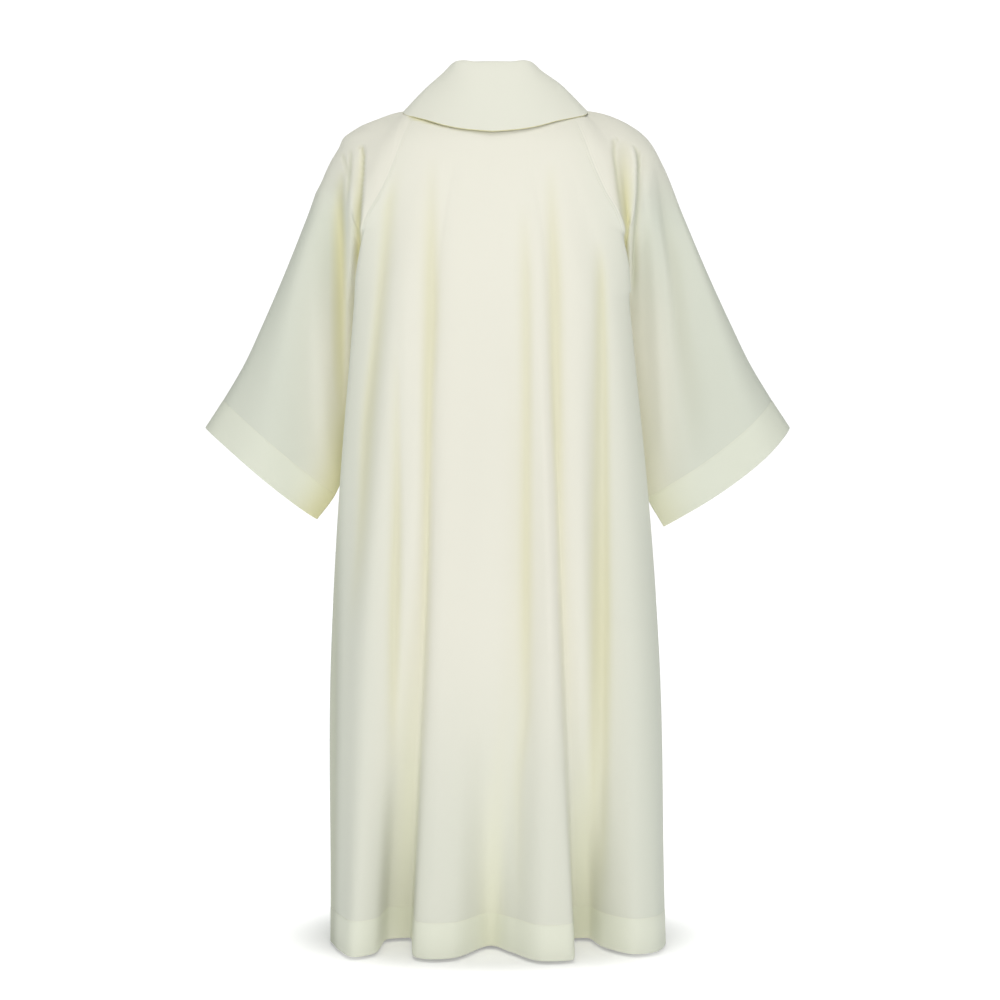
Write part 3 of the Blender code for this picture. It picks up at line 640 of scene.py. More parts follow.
# How close to a seam the creases and waves of the body fade out, and the creases and the waves of a sleeve
BODY_CALM = 0.03
CREASE_OFF_SEAM = 5 * MM
WAVE_OFF_SEAM = 0.05

# Those of a sleeve also fade out at its top line, within this share of its width
TOP_LINE = 0.06

# How far the shoulder is rounded off, and how far at its top line, within this share of the width. That
# starts between these distances from a seam and ends between these rows.
SHOULDER_SOFT = 34 * MM
TOP_SOFT = 7 * MM
TOP_SHARE = 0.15
SHOULDER_LOOSE = (0.012, 0.05)
SHOULDER_SOFT_ENDS = (1.2, 1.5)

# How far the side edges lie from the middle, from the armpit up to the corner of the raglan seam, in
# millimetres, and over which distances from the edge and from the seam the cloth goes along with them
SIDE_EDGE = (
    Side(-330, 238),
    Side(-290, 237),
    Side(-258, 231),
    Side(-224, 224),
    Side(-205, 217),
)
SIDE_REACH = 0.045
SIDE_OFF_SEAM = 0.008

# How far the cloth beside them is rounded off, between these distances from a seam and heights
SIDE_SOFT = 32 * MM
SIDE_LOOSE = (0.002, 0.03)
SIDE_SOFT_FROM = (-0.36, -0.29)
SIDE_SOFT_UNTIL = (-0.17, -0.10)

# Rounds in which the shoulders and the side edges are rounded off
SOFT_ROUNDS = 160

# How far the left shoulder's outline moves towards the middle, at these heights, in millimetres, and from
# which distances from the middle on
LEFT_SHOULDER_LINE = (
    Shift(-148, 0),
    Shift(-122, 3.5),
    Shift(-96, 3.5),
    Shift(-70, 5.5),
    Shift(-61, 3.5),
    Shift(-50, 0),
    Shift(-40, -0.5),
    Shift(-30, -5),
    Shift(-20, -5.5),
    Shift(-10, 0),
)
LEFT_SHOULDER_X = (0.18, 0.225)

# Widths of the dips of a seam and of a line of stitches, and how deep the stitches beside a seam dip, as a
# share of its groove
SEAM_WIDTH = 2.2 * MM
STITCH_WIDTH = 1.3 * MM
STITCH_DIP = 0.6

# The cloth puckers this far beside a seam and over this width, in a slow and a quick beat along it: their
# lengths for each radian, and their shares
PUCKER_OFF_SEAM = 8 * MM
PUCKER_WIDTH = 8 * MM
PUCKER_BEATS = (11 * MM, 6.3 * MM)
PUCKER_SHARES = (0.6, 0.4)

# How far a turned-up band stands out, and how far its line of stitches dips
BAND_STEP = 0.3 * MM
BAND_LINE_DIP = 0.5 * MM

# How far the middle of a stitch lies above the cloth, as a share of its thread, and how many sides it has
STITCH_LIFT = 0.2
STITCH_SIDES = 4

# The collar's lower edge at the back, as distances from the middle and heights, in millimetres
Edge = namedtuple("Edge", "x z")
COLLAR_LINE = (
    Edge(-152, -23),
    Edge(-123, -34),
    Edge(-90, -44),
    Edge(-14, -57),
    Edge(79, -41),
    Edge(122, -25),
    Edge(156, -18),
)

# How much the cloth under it takes the hollows' tone as a painted shadow of the collar, between which
# distances below it that fades out, and between which distances from the middle it ends
COLLAR_PAINTED_SHADOW = 0.9
COLLAR_PAINTED_SHADOW_FADE = (1 * MM, 7 * MM)
COLLAR_PAINTED_SHADOW_ENDS = (0.135, 0.15)

# Between which distances from the middle the cloth takes its outer tone, a painted shade: on the body,
# and low and high on a sleeve, which change over between these heights
BODY_OUTER_SHADE = (0.10, 0.32)
SLEEVE_OUTER_SHADE_LOW = (0.24, 0.37)
SLEEVE_OUTER_SHADE_HIGH = (0.19, 0.29)
SLEEVE_OUTER_SHADE_RISE = (-0.45, -0.2)

# How much of that painted shade the shoulders lose, where the light from above falls on them, between
# these heights
SHOULDER_LIGHT = 0.8
SHOULDER_RISE = (-0.20, -0.09)

# Below these heights all of the skirt has at least this much of that painted shade, and its hollows lose
# this much of their painted shade
LOW_SHADE_FADE = (-1.30, -0.85)
LOW_SHADE = 0.55
HOLLOW_LOSS = 0.4

# How much of the tone of double cloth the outer tone, a painted shade, takes away
DOUBLE_LOSS = 0.6

# A hollow is measured against the cloth this far on both sides. It is full at this depth, blurred in so
# many rounds, and gives this share of the hollows' tone, which is painted shade.
HOLLOW_REACH = 0.055
HOLLOW_FULL = 0.045
HOLLOW_BLUR = 12
HOLLOW_SHADE_SHARE = 0.5

# On the body the trough of a crease adds this share of that painted shade, all of it from this depth on. On
# a sleeve, and for the painted grey shade, a crease of the last depth gives the whole tone.
TROUGH_SHADE_SHARE = 0.45
TROUGH_FULL = 5 * MM
FULL_CREASE = 14 * MM

# A sleeve takes the hollows' tone as painted shade within this distance of the body: its share on the left
# and on the right, what is left of it near the shoulder, and between which rows it starts and becomes full
SHADE_BESIDE_BODY = 45 * MM
BESIDE_LEFT = 1.0
BESIDE_RIGHT = 0.42
BESIDE_TOP = 0.4
BESIDE_STARTS = (0.55, 0.75)
BESIDE_FULL = (1.2, 1.7)

# Slow waves that keep the cloth from lying quite smooth: radians for each metre across and up, a start in
# radians, and a share
Wave = namedtuple("Wave", "across up start share")
WAVES = (
    Wave(31, 4.5, 0.4, 1.0),
    Wave(-47, 7.0, 2.1, 0.7),
    Wave(19, -9.0, 4.0, 0.8),
    Wave(73, 5.0, 1.2, 0.35),
    Wave(-88, -13.0, 5.2, 0.25),
)
# How much less that start is on the back, and how much more on the front
WAVE_FACING = 1.7

# Floor, backdrop, sky, lights and camera. The floor glows less near the garment, as a painted shadow.
FLOOR_SIZE = 40.0
FLOOR_GAP = 0.006
# Glow of the floor near the garment, weaker than further out: a painted shadow under it
FLOOR_GLOW = 0.28
FLOOR_GLOW_FAR = 0.80
FLOOR_GLOW_START = 0.25
FLOOR_GLOW_REACH = 0.44
FLOOR_GLOW_DEPTH = 1.5
BACKDROP_SIZE = 7.4
BACKDROP_PLACE = (0, 8.0, 1.6)
BACKDROP_GLOW = 1.1
SKY_COLOUR = (0.90, 1.0, 0.97)
SKY_STRENGTH = 0.22
Light = namedtuple("Light", "name place power size colour aim")
LIGHTS = (
    Light("key", (0.5, -4.0, 1.2), 37, 1.3, (1.0, 0.965, 0.93), (0, 0, -0.5)),
    Light("fill", (-0.4, -3.8, -1.0), 17, 1.4, (1.0, 0.97, 0.94), (0, 0, -0.9)),
    Light("top", (0, -0.8, 2.2), 28, 1.6, (1.0, 0.98, 0.95), (0, -0.1, 0)),
)
CAMERA_PLACE = (0, -3.1, -0.63)
CAMERA_LENS = 63.8
CAMERA_SENSOR = 36
CAMERA_SHIFT = (0.007, -0.03)

# Grain of the weave for each metre of the cut, for the threads along it and for those across it, and how
# strongly they show
WEAVE_SCALES = ((1500, 160, 1), (160, 1500, 1))
WEAVE_STRENGTH = 0.25
WEAVE_DEPTH = 0.2 * MM

# Flat cut of each piece in metres and square metres
Cut = namedtuple("Cut", "width length area")


def length_property(name, description, default):
    return bpy.props.FloatProperty(name=name, description=description, default=default, unit="LENGTH")


def colour_property(name, description, default):
    return bpy.props.FloatVectorProperty(
        name=name, description=description, default=default, subtype="COLOR", size=3, min=0.0, max=1.0
    )


class AlbSizes(bpy.types.PropertyGroup):
    """Sizes of the cloth and its sewing."""

    cloth: length_property("Cloth", "Thickness of the cloth", 0.0009)
    hem_band: length_property("Hem", "Depth of the turned-up hem", 0.058)
    cuff_band: length_property("Cuff", "Depth of the turned-up cuff", 0.056)
    turn_up: length_property("Turn-up", "How far inside the cloth a turned-up hem lies", 0.0017)
    collar: length_property("Collar", "Thickness of the doubled collar", 0.0019)
    groove: length_property("Seam groove", "How far the cloth dips at a seam", 0.0004)
    pucker: length_property("Pucker", "How far the cloth puckers beside a seam", 0.0002)
    topstitch: length_property("Topstitch", "Distance of the topstitching from its seam", 0.0045)
    wave: length_property("Unevenness", "How far the cloth waves between its folds", 0.0009)
    stitch_step: length_property("Stitch step", "Distance from stitch to stitch", 0.0034)
    stitch: length_property("Stitch", "Length of a stitch", 0.0024)
    thread: length_property("Thread", "Thickness of the sewing thread", 0.0004)
    crease: bpy.props.FloatProperty(
        name="Creases",
        description="Strength of the creases",
        default=1.0,
        min=0.0,
        max=2.0,
        subtype="FACTOR",
    )


class AlbColours(bpy.types.PropertyGroup):
    """Colours of the cloth with its painted shades and light, the thread and the floor."""

    body: colour_property("Cloth", "Cloth of the panels", (0.82, 0.803, 0.713))
    # Painted shade: the outer tone darkens and greys the cloth towards the sides, the sleeves' far ends and
    # the bottom of the skirt, where less light falls
    outer: colour_property(
        "Outer cloth", "Cloth towards the sleeves' and the skirt's far ends", (0.67, 0.695, 0.61)
    )
    shade: colour_property("Shaded cloth", "Cloth turned away beside the open edges", (0.56, 0.575, 0.47))
    # Painted shade: the collar's cloth is set a little darker than the panels' same cloth, against the light
    # that falls more strongly on it
    collar: colour_property("Collar", "Cloth of the collar", (0.79, 0.79, 0.70))
    # Painted shade: the hollow mark darkens and yellows the cloth deep in folds, in crease troughs, on a
    # sleeve beside the body, under the collar and along the collar's rim
    hollow: colour_property("Hollows", "Cloth deep in a fold", (0.69, 0.665, 0.41))
    # The hems' own tone where the cloth lies double, which low on the skirt also serves as painted light
    # deep in the folds
    double: colour_property("Hems", "Cloth where it lies double", (0.83, 0.85, 0.72))
    thread: colour_property("Thread", "Sewing thread", (0.80, 0.79, 0.66))
    floor: colour_property("Floor", "Floor under the garment", (0.78, 0.78, 0.78))


def through(knots, values, at, rounded=False):
    """A smooth curve through the values at the knots. A rounded one never passes a crest or a trough."""
    knots = np.asarray(knots, float)
    values = np.asarray(values, float)
    at = np.clip(np.atleast_1d(np.asarray(at, float)), knots[0], knots[-1])
    column = (-1,) + (1,) * (values.ndim - 1)
    steps = np.diff(knots).reshape(column)
    slopes = np.diff(values, axis=0) / steps
    before, after = slopes[:-1], slopes[1:]
    if rounded:
        first = 2 * steps[1:] + steps[:-1]
        second = steps[1:] + 2 * steps[:-1]
        same_way = before * after > 0
        safe_before = np.where(same_way, before, 1)
        safe_after = np.where(same_way, after, 1)
        mean = (first + second) / (first / safe_before + second / safe_after)
        middle = np.where(same_way, mean, 0)
    else:
        middle = (before * steps[1:] + after * steps[:-1]) / (steps[1:] + steps[:-1])
    tangents = np.concatenate([slopes[:1], middle, slopes[-1:]])
    place = np.clip(np.searchsorted(knots, at, side="right") - 1, 0, len(knots) - 2)
    step = steps[place]
    share = (at - knots[place]).reshape(column) / step
    return (
        (2 * share**3 - 3 * share**2 + 1) * values[place]
        + (share**3 - 2 * share**2 + share) * step * tangents[place]
        + (3 * share**2 - 2 * share**3) * values[place + 1]
        + (share**3 - share**2) * step * tangents[place + 1]
    )


def ease(value, start, end):
    """From 0 at start to 1 at end, level at both."""
    share = np.clip((np.asarray(value, float) - start) / (end - start), 0, 1)
    return share * share * (3 - 2 * share)


def unit(vectors):
    return vectors / np.maximum(np.linalg.norm(vectors, axis=-1, keepdims=True), 1e-12)


def lengths_along(points):
    """Length from the first point to each point, as shares of the whole."""
    steps = np.linalg.norm(np.diff(points, axis=0), axis=1)
    return np.concatenate([[0], np.cumsum(steps)]) / steps.sum()


def curve_of(places):
    """Knots and points of a table of places, spaced by length."""
    points = np.array([(p.x, p.y, p.z) for p in places]) * MM
    return lengths_along(points), points


class Body:
    """The back or the front: rings below the armpit, and rows between the raglan seams above it."""

    def __init__(self, folds, raglan, middle):
        chest = np.array([(f.chest_x, f.chest_y) for f in folds]) * MM
        mid = np.array([(f.mid_x, f.mid_y) for f in folds]) * MM
        hem = np.array([(f.hem_x, f.hem_y) for f in folds]) * MM
        low = mid + (hem - mid) * (LOW_SHIFT, LOW_DEPTH)
        self.levels = np.stack([hem, low, mid, chest])
        shares = [lengths_along(level) for level in (chest, mid, hem)]
        self.knots = np.mean(shares, axis=0)
        self.chest = chest
        self.facing = np.sign(middle[0].y)
        self.dents = np.array([f.dent for f in folds]) * MM
        self.raglan = curve_of(raglan)
        self.middle = np.array([(level.z, level.y) for level in middle]) * MM
        # Above the armpit the side folds gather into the seam, and the others keep their share of the width
        spread = chest[:, 0] / np.abs(chest[:, 0]).max()
        spread[[0, 1, -2, -1]] = -1, -LIP_SPREAD, LIP_SPREAD, 1
        spread[2:-2] *= FOLD_SPREAD
        self.spread = spread

    def columns(self, per_fold):
        """Places of a grid's columns: each fold and the stretches between them."""
        numbers = np.arange(len(self.knots))
        return np.interp(np.arange(per_fold * numbers[-1] + 1) / per_fold, numbers, self.knots)

    def lower(self, columns, heights):
        """Points of the rings at these heights."""
        folds = through((HEM_Z, LOW_Z, MID_Z, ARMPIT_Z), self.levels, heights)
        flat = through(self.knots, np.swapaxes(folds, 0, 1), columns, rounded=True)
        level = np.broadcast_to(np.asarray(heights, float), flat.shape[:2])
        return np.swapaxes(np.dstack([flat, level]), 0, 1)

    def upper(self, columns, shares):
        """Points of the rows at these shares of the way up the raglan seam."""
        shares = np.asarray(shares, float)
        seam = through(*self.raglan, shares)[:, None, :]
        # Where the seam dives into the fold under the arm, the panel itself runs on past it
        leaves = through(*self.raglan, np.maximum(shares, FOLD_TOP))[:, None, :]
        neck_drop = self.middle[-1, 0] - self.raglan[1][-1, 2]
        z_middle = seam[..., 2] + neck_drop * ease(shares, *MIDDLE_DROP)[:, None]
        y_middle = through(self.middle[:, 0], self.middle[:, 1], z_middle.ravel())[:, None]
        spread = through(self.knots, self.spread, columns, rounded=True)[None, :]
        side = np.sign(spread)
        x_high = leaves[..., 0] * spread
        y_high = y_middle + (leaves[..., 1] - y_middle) * np.abs(spread) ** SIDE_ROUNDNESS
        dents = through(self.knots, self.dents, columns, rounded=True)
        y_high = y_high - self.facing * dents * (1 - ease(shares, *DENT_FADE))[:, None]
        # The ring at the armpit's level, with its ends drawn to the seam
        into_seam = np.zeros(len(columns))
        for end, edge in ((0, 2), (-1, -3)):
            turned = (columns - self.knots[edge]) / (self.knots[end] - self.knots[edge])
            into_seam += np.clip(turned, 0, 1) ** 2
        ring = through(self.knots, self.chest, columns, rounded=True)[None]
        armpit = self.raglan[1][0]
        x_low = ring[..., 0] + side * (seam[..., 0] - armpit[0]) * into_seam
        y_low = ring[..., 1] + (seam[..., 1] - armpit[1]) * into_seam
        x_high = x_high + side * (seam[..., 0] - leaves[..., 0]) * into_seam
        y_high = y_high + (seam[..., 1] - leaves[..., 1]) * into_seam
        high = ease(shares, 0.0, FOLD_TOP)[:, None]
        x = x_low + (x_high - x_low) * high
        y = y_low + (y_high - y_low) * high
        z = seam[..., 2] + (z_middle - seam[..., 2]) * (1 - spread**2)
        return np.dstack([x, y, z])

    def seam_direction(self, shares):
        """Which way the panel's surface leaves its right seam, outwards."""
        ends = self.upper(np.array([1 - SEAM_STEP, 1.0]), shares)
        return unit(ends[:, 1] - ends[:, 0])


BACK = Body(BACK_FOLDS, BACK_RAGLAN, BACK_MIDDLE)
FRONT = Body(FRONT_FOLDS, FRONT_RAGLAN, FRONT_MIDDLE)


def bend(start, first, second, end, along):
    """Cubic curve with these four control points for each row, read at the shares along."""
    a = along[None, :, None]
    b = 1 - a
    start, first, second, end = (p[:, None, :] for p in (start, first, second, end))
    return b**3 * start + 3 * b * b * a * first + 3 * b * a * a * second + a**3 * end


def sleeve(side, columns, rows):
    """Points of a sleeve. Rows go from 0 at the neck seam over 1 at the armpit to 2 at the cuff.

    Columns go from 0 at the back seam over 0.5 at the top of the arm to 1 at the front seam.
    """
    rows = np.asarray(rows, float)
    on_shoulder = np.clip(rows, 0, 1)
    on_arm = np.clip(rows - 1, 0, 1)[:, None]
    knots, points = curve_of(OVERARM)
    turn = knots[ARMPIT_ON_OVERARM]
    top = through(knots, points, np.where(rows < 1, rows * turn, turn + (rows - 1) * (1 - turn)))
    under = through(*curve_of(UNDERARM), on_arm[:, 0])
    if side < 0:
        shoulder = ease(rows, *LEFT_SHOULDER_ROWS)[:, None]
        lowered = shoulder * (1 - ease(rows, *LEFT_LOWERED_ROWS)[:, None])
        top = top - shoulder * (LEFT_SHOULDER_IN, 0, 0) - lowered * (0, 0, LEFT_SHOULDER_DOWN)
        top = top - ease(rows, *LEFT_CUFF_ROWS)[:, None] * (LEFT_CUFF_IN, 0, 0)
        under = under + on_arm**4 * (LEFT_CORNER_OUT, 0, LEFT_CORNER_UP)
    halves = []
    for body, facing in ((BACK, -1), (FRONT, 1)):
        seam = through(*body.raglan, 1 - on_shoulder)
        start = np.where(rows[:, None] < 1, seam, under)
        span = np.linalg.norm(top - start, axis=1)[:, None]
        along = unit(top - start)
        over_body = ease(1 - on_shoulder, *OVER_BODY)[:, None]
        from_fold = unit(along + np.array([FOLD_OUT, FOLD_ASIDE * facing, 0.0]))
        leaving = unit(body.seam_direction(1 - on_shoulder) * over_body + from_fold * (1 - over_body))
        deep = ARMPIT_DEPTH + (1 - ARMPIT_DEPTH) * on_arm
        in_fold = leaving * HANDLE_IN_FOLD * span + np.array([0, facing, 0]) * SLEEVE_DEPTH_LOW * deep
        on_top = leaving * HANDLE_ON_TOP * span
        first = start + on_top * over_body + in_fold * (1 - over_body)
        shoulder_deeper = (SHOULDER_DEPTH - NECK_SIDE_DEPTH) * ease(rows, *SHOULDER_DEEPENS)[:, None]
        arm_deeper = (SLEEVE_DEPTH_TOP - SHOULDER_DEPTH) * ease(rows, *ARM_DEEPENS)[:, None]
        depth = NECK_SIDE_DEPTH + shoulder_deeper + arm_deeper
        second = top + np.array([0, facing, 0]) * depth
        local = 2 * columns[columns <= 0.5] if facing < 0 else 2 - 2 * columns[columns > 0.5]
        halves.append(bend(start, first, second, top, local))
    cloth = np.concatenate(halves, axis=1)
    cloth[..., 1] += sleeve_folds(side, columns, rows)
    break_over_arm(cloth, side, rows)
    along = unit(top - under)
    past_cuff = np.stack([along[:, 2], 0 * along[:, 1], -along[:, 0]], axis=1)
    deepest = CUFF_SAG if side > 0 else LEFT_CUFF_SAG
    sag = deepest * ease(rows, *SAG_ROWS)[:, None] * np.sin(2 * np.pi * columns)[None, :] ** 2
    cloth = cloth + past_cuff[:, None, :] * sag[:, :, None]
    if side < 0:
        cloth = cloth * (-1, 1, 1)
    return cloth


def sleeve_folds(side, columns, rows):
    """How far the long folds move the cloth along Y.

    They fade out at the seams, at the top line and towards the shoulder.
    """
    along = np.clip(np.asarray(rows) - 1, SLEEVE_FOLDS_RISE[0], 1)[:, None]
    local = 1 - np.abs(1 - 2 * columns)[None, :]
    moved = 0 * along * local
    for fold in SLEEVE_FOLDS:
        if fold.side == side:
            place = fold.at_armpit + (fold.at_cuff - fold.at_armpit) * along
            moved = moved + fold.height * MM * np.exp(-(((local - place) / fold.width) ** 2))
    strength = ease(along, *SLEEVE_FOLDS_RISE) * np.sin(np.pi * np.minimum(local, 1)) ** 0.5
    facing = np.where(columns <= 0.5, -1, 1)[None, :]
    return moved * strength * facing


def break_over_arm(cloth, side, rows):
    """Moves the sleeve's points inwards along Y past the line where the cloth breaks."""
    line = np.array(BREAK_LINE_LEFT if side < 0 else BREAK_LINE_RIGHT) * MM
    depths = np.array(BREAK_DEPTHS) * MM
    on_shoulder = np.asarray(rows) <= BREAK_LAST_ROW
    x, y, z = np.moveaxis(cloth[on_shoulder], 2, 0)
    past = x - through(line[:, 0], line[:, 1], z.ravel()).reshape(z.shape)
    depth = through(depths[:, 0], depths[:, 1], z.ravel(), rounded=True).reshape(z.shape)
    drop = depth * ease(past, 0, BREAK_WIDTH) * (1 - ease(past, BREAK_WIDTH, BREAK_REACH))
    cloth[on_shoulder, :, 1] += np.where(y < 0, drop, -drop * FRONT_BREAK)


def collar_rows(columns_at_neck):
    """Points of the collar, from the neck seam to the outer edge, on the given columns of each panel."""
    near = np.linspace(1.0, COLLAR_FAN_END, COLLAR_FAN_ROWS)
    back, right, front, left = columns_at_neck
    fans = [
        BACK.upper(back, near),
        sleeve(1, right, 1 - near),
        FRONT.upper(front, near)[:, ::-1],
        sleeve(-1, left, 1 - near)[:, ::-1],
    ]
    fan = np.concatenate([part[:, :-1] for part in fans], axis=1)
    neck = fan[0]
    down = np.gradient(fan, axis=0)
    round_it = (np.roll(fan, -1, axis=1) - np.roll(fan, 1, axis=1)) / 2
    normals = unit(np.cross(round_it, -down))
    angle = np.arctan2(neck[:, 0], -neck[:, 1])
    share = np.abs(angle) / np.pi
    table = np.array(COLLAR_REACH)
    reach = through(table[:, 0], table[:, 1] * MM, share)
    clear = through(table[:, 0], table[:, 2] * MM, share)
    lengths = np.cumsum(np.linalg.norm(down, axis=2), axis=0)
    lengths = lengths - lengths[0]
    edge = np.empty_like(neck)
    for i in range(len(neck)):
        place = through(lengths[:, i], fan[:, i], reach[i])[0]
        normal = through(lengths[:, i], normals[:, i], reach[i])[0]
        edge[i] = place + unit(normal) * clear[i]
    sine, cosine = np.sin(angle), np.cos(angle)
    power = np.where(cosine > 0, 2 / ROLL_SQUARENESS_BACK, 2 / ROLL_SQUARENESS_FRONT)
    x = ROLL_HALF_WIDTH * np.sign(sine) * np.abs(sine) ** power
    y = np.where(cosine > 0, ROLL_BACK_Y, ROLL_FRONT_Y) * np.abs(cosine) ** power
    fall = np.clip((y - ROLL_LEVEL_Y) / (ROLL_FRONT_Y - ROLL_LEVEL_Y), 0, 1) ** ROLL_FALL
    z = ROLL_TOP_Z + (ROLL_FRONT_Z - ROLL_TOP_Z) * fall
    roll = np.stack([x, y, z], axis=1)
    away = edge - neck.mean(axis=0)
    away[:, 2] = 0
    away = unit(away)
    up = np.array([0, 0, 1.0])
    inner = roll - away * ROLL_RADIUS - up * ROLL_RADIUS
    outer = roll + away * ROLL_RADIUS - up * ROLL_RADIUS
    stand = neck + (inner - neck) * 0.5 + (up - away) * STAND_LEAN
    bulge = (away + up) * COLLAR_CROWN
    return np.stack([
        neck,
        stand,
        inner,
        roll,
        outer,
        outer + (edge - outer) * 0.33 + bulge,
        outer + (edge - outer) * 0.67 + bulge * 0.8,
        edge,
    ])


def creases_at(x, z, creases):
    """How far the creases stand out at these places, and how deep their painted yellow and grey shades are.
    """
    moved = np.zeros_like(x)
    gold = np.zeros_like(x)
    shade = np.zeros_like(x)
    for crease in creases:
        rows = np.array(sorted(crease.places)) * MM
        middle, height, left, right = (
            through(rows[:, 0], rows[:, column], z.ravel(), rounded=True).reshape(z.shape)
            for column in (1, 2, 3, 4)
        )
        aside = x - middle
        height = height * np.exp(-((aside / np.where(aside < 0, left, right)) ** 2))
        moved += height
        gold -= height * crease.gold
        shade -= height * crease.shade
    return moved, np.maximum(gold, 0), np.maximum(shade, 0)


def slow_waves(x, z, facing):
    """Uneven heights from -1 to 1 or so over the cloth."""
    total = sum(
        wave.share * np.sin(wave.across * x + wave.up * z + wave.start + WAVE_FACING * facing)
        for wave in WAVES
    )
    return total / sum(wave.share for wave in WAVES)


def outwards(points):
    """Directions at right angles to a grid of points, from its rows and columns."""
    across = np.gradient(points, axis=1)
    along = np.gradient(points, axis=0)
    return unit(np.cross(across, along))


def lengths_from(points, axis):
    """Lengths along the grid's rows or columns to each point."""
    steps = np.linalg.norm(np.diff(points, axis=axis), axis=2)
    start = np.zeros_like(np.take(steps, [0], axis=axis))
    return np.concatenate([start, np.cumsum(steps, axis=axis)], axis=axis)


def softened(points, reach, rounds=40):
    """The grid with its folds rounded off along each row, whose two ends stay.

    The reach is in metres, one for all rows or one for each.
    """
    points = points.copy()
    steps = np.linalg.norm(np.diff(points, axis=1), axis=2)
    before, after = steps[:, :-1], steps[:, 1:]
    share = (before / (before + after))[..., None]
    pace = np.minimum(np.reshape(reach, (-1, 1)) ** 2 / (rounds * before * after), 0.5)[..., None]
    for _ in range(rounds):
        chord = points[:, :-2] * (1 - share) + points[:, 2:] * share
        points[:, 1:-1] += pace * (chord - points[:, 1:-1])
    return points


def softened_along(points, reach):
    """The grid with its folds rounded off along its columns. The reach is as in softened."""
    return np.swapaxes(softened(np.swapaxes(points, 0, 1), reach, SOFT_ROUNDS), 0, 1)


def to_seams(points):
    """Distance of each point from the nearer end of its row."""
    lengths = lengths_from(points, 1)
    return np.minimum(lengths, lengths[:, -1:] - lengths)


def seam_dip(points, sizes):
    """How far the cloth dips into a seam and puckers beside it, at each point."""
    away = to_seams(points)
    down = lengths_from(points, 0)
    seam = np.exp(-((away / SEAM_WIDTH) ** 2))
    stitched = STITCH_DIP * np.exp(-(((away - sizes.topstitch) / STITCH_WIDTH) ** 2))
    slow, quick = PUCKER_BEATS
    slow_share, quick_share = PUCKER_SHARES
    beat = np.sin(down / slow) * slow_share + np.sin(down / quick + 1.0) * quick_share
    pucker = sizes.pucker * beat * np.exp(-(((away - PUCKER_OFF_SEAM) / PUCKER_WIDTH) ** 2))
    return -sizes.groove * (seam + stitched) + pucker


def hollows(points):
    """How deep each point lies in a fold, from 0 to 1, against the cloth on both sides of it."""
    lengths = lengths_from(points, 1)
    deep = np.zeros(points.shape[:2])
    for i, row in enumerate(points):
        out = np.abs(row[:, 1])
        before = np.interp(lengths[i] - HOLLOW_REACH, lengths[i], out)
        after = np.interp(lengths[i] + HOLLOW_REACH, lengths[i], out)
        deep[i] = np.clip((np.minimum(before, after) - out) / HOLLOW_FULL, 0, 1)
    return deep


def blurred(values, rounds):
    """The marks with each one averaged with its neighbours, so many times over."""
    for _ in range(rounds):
        wide = np.pad(values, 1, mode="edge")
        values = (wide[:-2, 1:-1] + wide[2:, 1:-1] + wide[1:-1, :-2] + wide[1:-1, 2:] + 2 * values) / 6
    return values


def band_steps(band):
    """Distances from an edge to rows in its band, close together at the edge and at the band's end."""
    near = np.array(NEAR_EDGE) * MM
    between = np.linspace(near[-1], band - BAND_END_GAP, BAND_ROWS)[1:]
    return np.concatenate([near, between, band + np.array(NEAR_BAND_END) * MM])


def with_turn_up(points, steps, band, sizes, out):
    """The grid with its first rows repeated inside it, turned up. Out is each point's outward direction."""
    layer = np.flatnonzero(steps <= band)[1:][::-1]
    folded = points[layer] - out[layer] * sizes.turn_up
    return np.concatenate([folded, points])


def cloth_object(name, points, marks):
    """An object with the grid of points as its cloth, its cut as a UV map, and a number for each mark."""
    rows, columns = points.shape[:2]
    bm = bmesh.new()
    bmesh.ops.create_grid(bm, x_segments=columns - 1, y_segments=rows - 1, size=0.5)
    mesh = bpy.data.meshes.new(name)
    bm.to_mesh(mesh)
    bm.free()
    flat = np.empty(len(mesh.vertices) * 3)
    mesh.vertices.foreach_get("co", flat)
    flat = flat.reshape(-1, 3) + 0.5
    column = np.rint(flat[:, 0] * (columns - 1)).astype(int)
    row = np.rint(flat[:, 1] * (rows - 1)).astype(int)
    mesh.vertices.foreach_set("co", points[row, column].ravel())
    cut = np.stack([lengths_from(points, 1), lengths_from(points, 0)], axis=2)
    cut[..., 0] -= cut[:, columns // 2, None, 0]
    corners = np.empty(len(mesh.loops), dtype=np.int32)
    mesh.loops.foreach_get("vertex_index", corners)
    uv = mesh.uv_layers.new(name="cut")
    uv.data.foreach_set("uv", cut[row[corners], column[corners]].astype(np.float32).ravel())
    for label, values in marks.items():
        attribute = mesh.attributes.new(label, "FLOAT", "POINT")
        attribute.data.foreach_set("value", values[row, column].astype(np.float32))
    bm = bmesh.new()
    bm.from_mesh(mesh)
    bmesh.ops.remove_doubles(bm, verts=bm.verts, dist=1e-6)
    bm.to_mesh(mesh)
    bm.free()
    mesh.shade_smooth()
    piece = bpy.data.objects.new(name, mesh)
    bpy.context.scene.collection.objects.link(piece)
    return piece


def mirrored(points, marks):
    """The grid and its marks with their columns in the opposite order."""
    return points[:, ::-1], {label: mark[:, ::-1] for label, mark in marks.items()}


def thicken(piece, thickness):
    """Gives a sheet its wall."""
    wall = piece.modifiers.new("wall", "SOLIDIFY")
    wall.thickness = thickness
    wall.offset = 0
    wall.use_rim = True


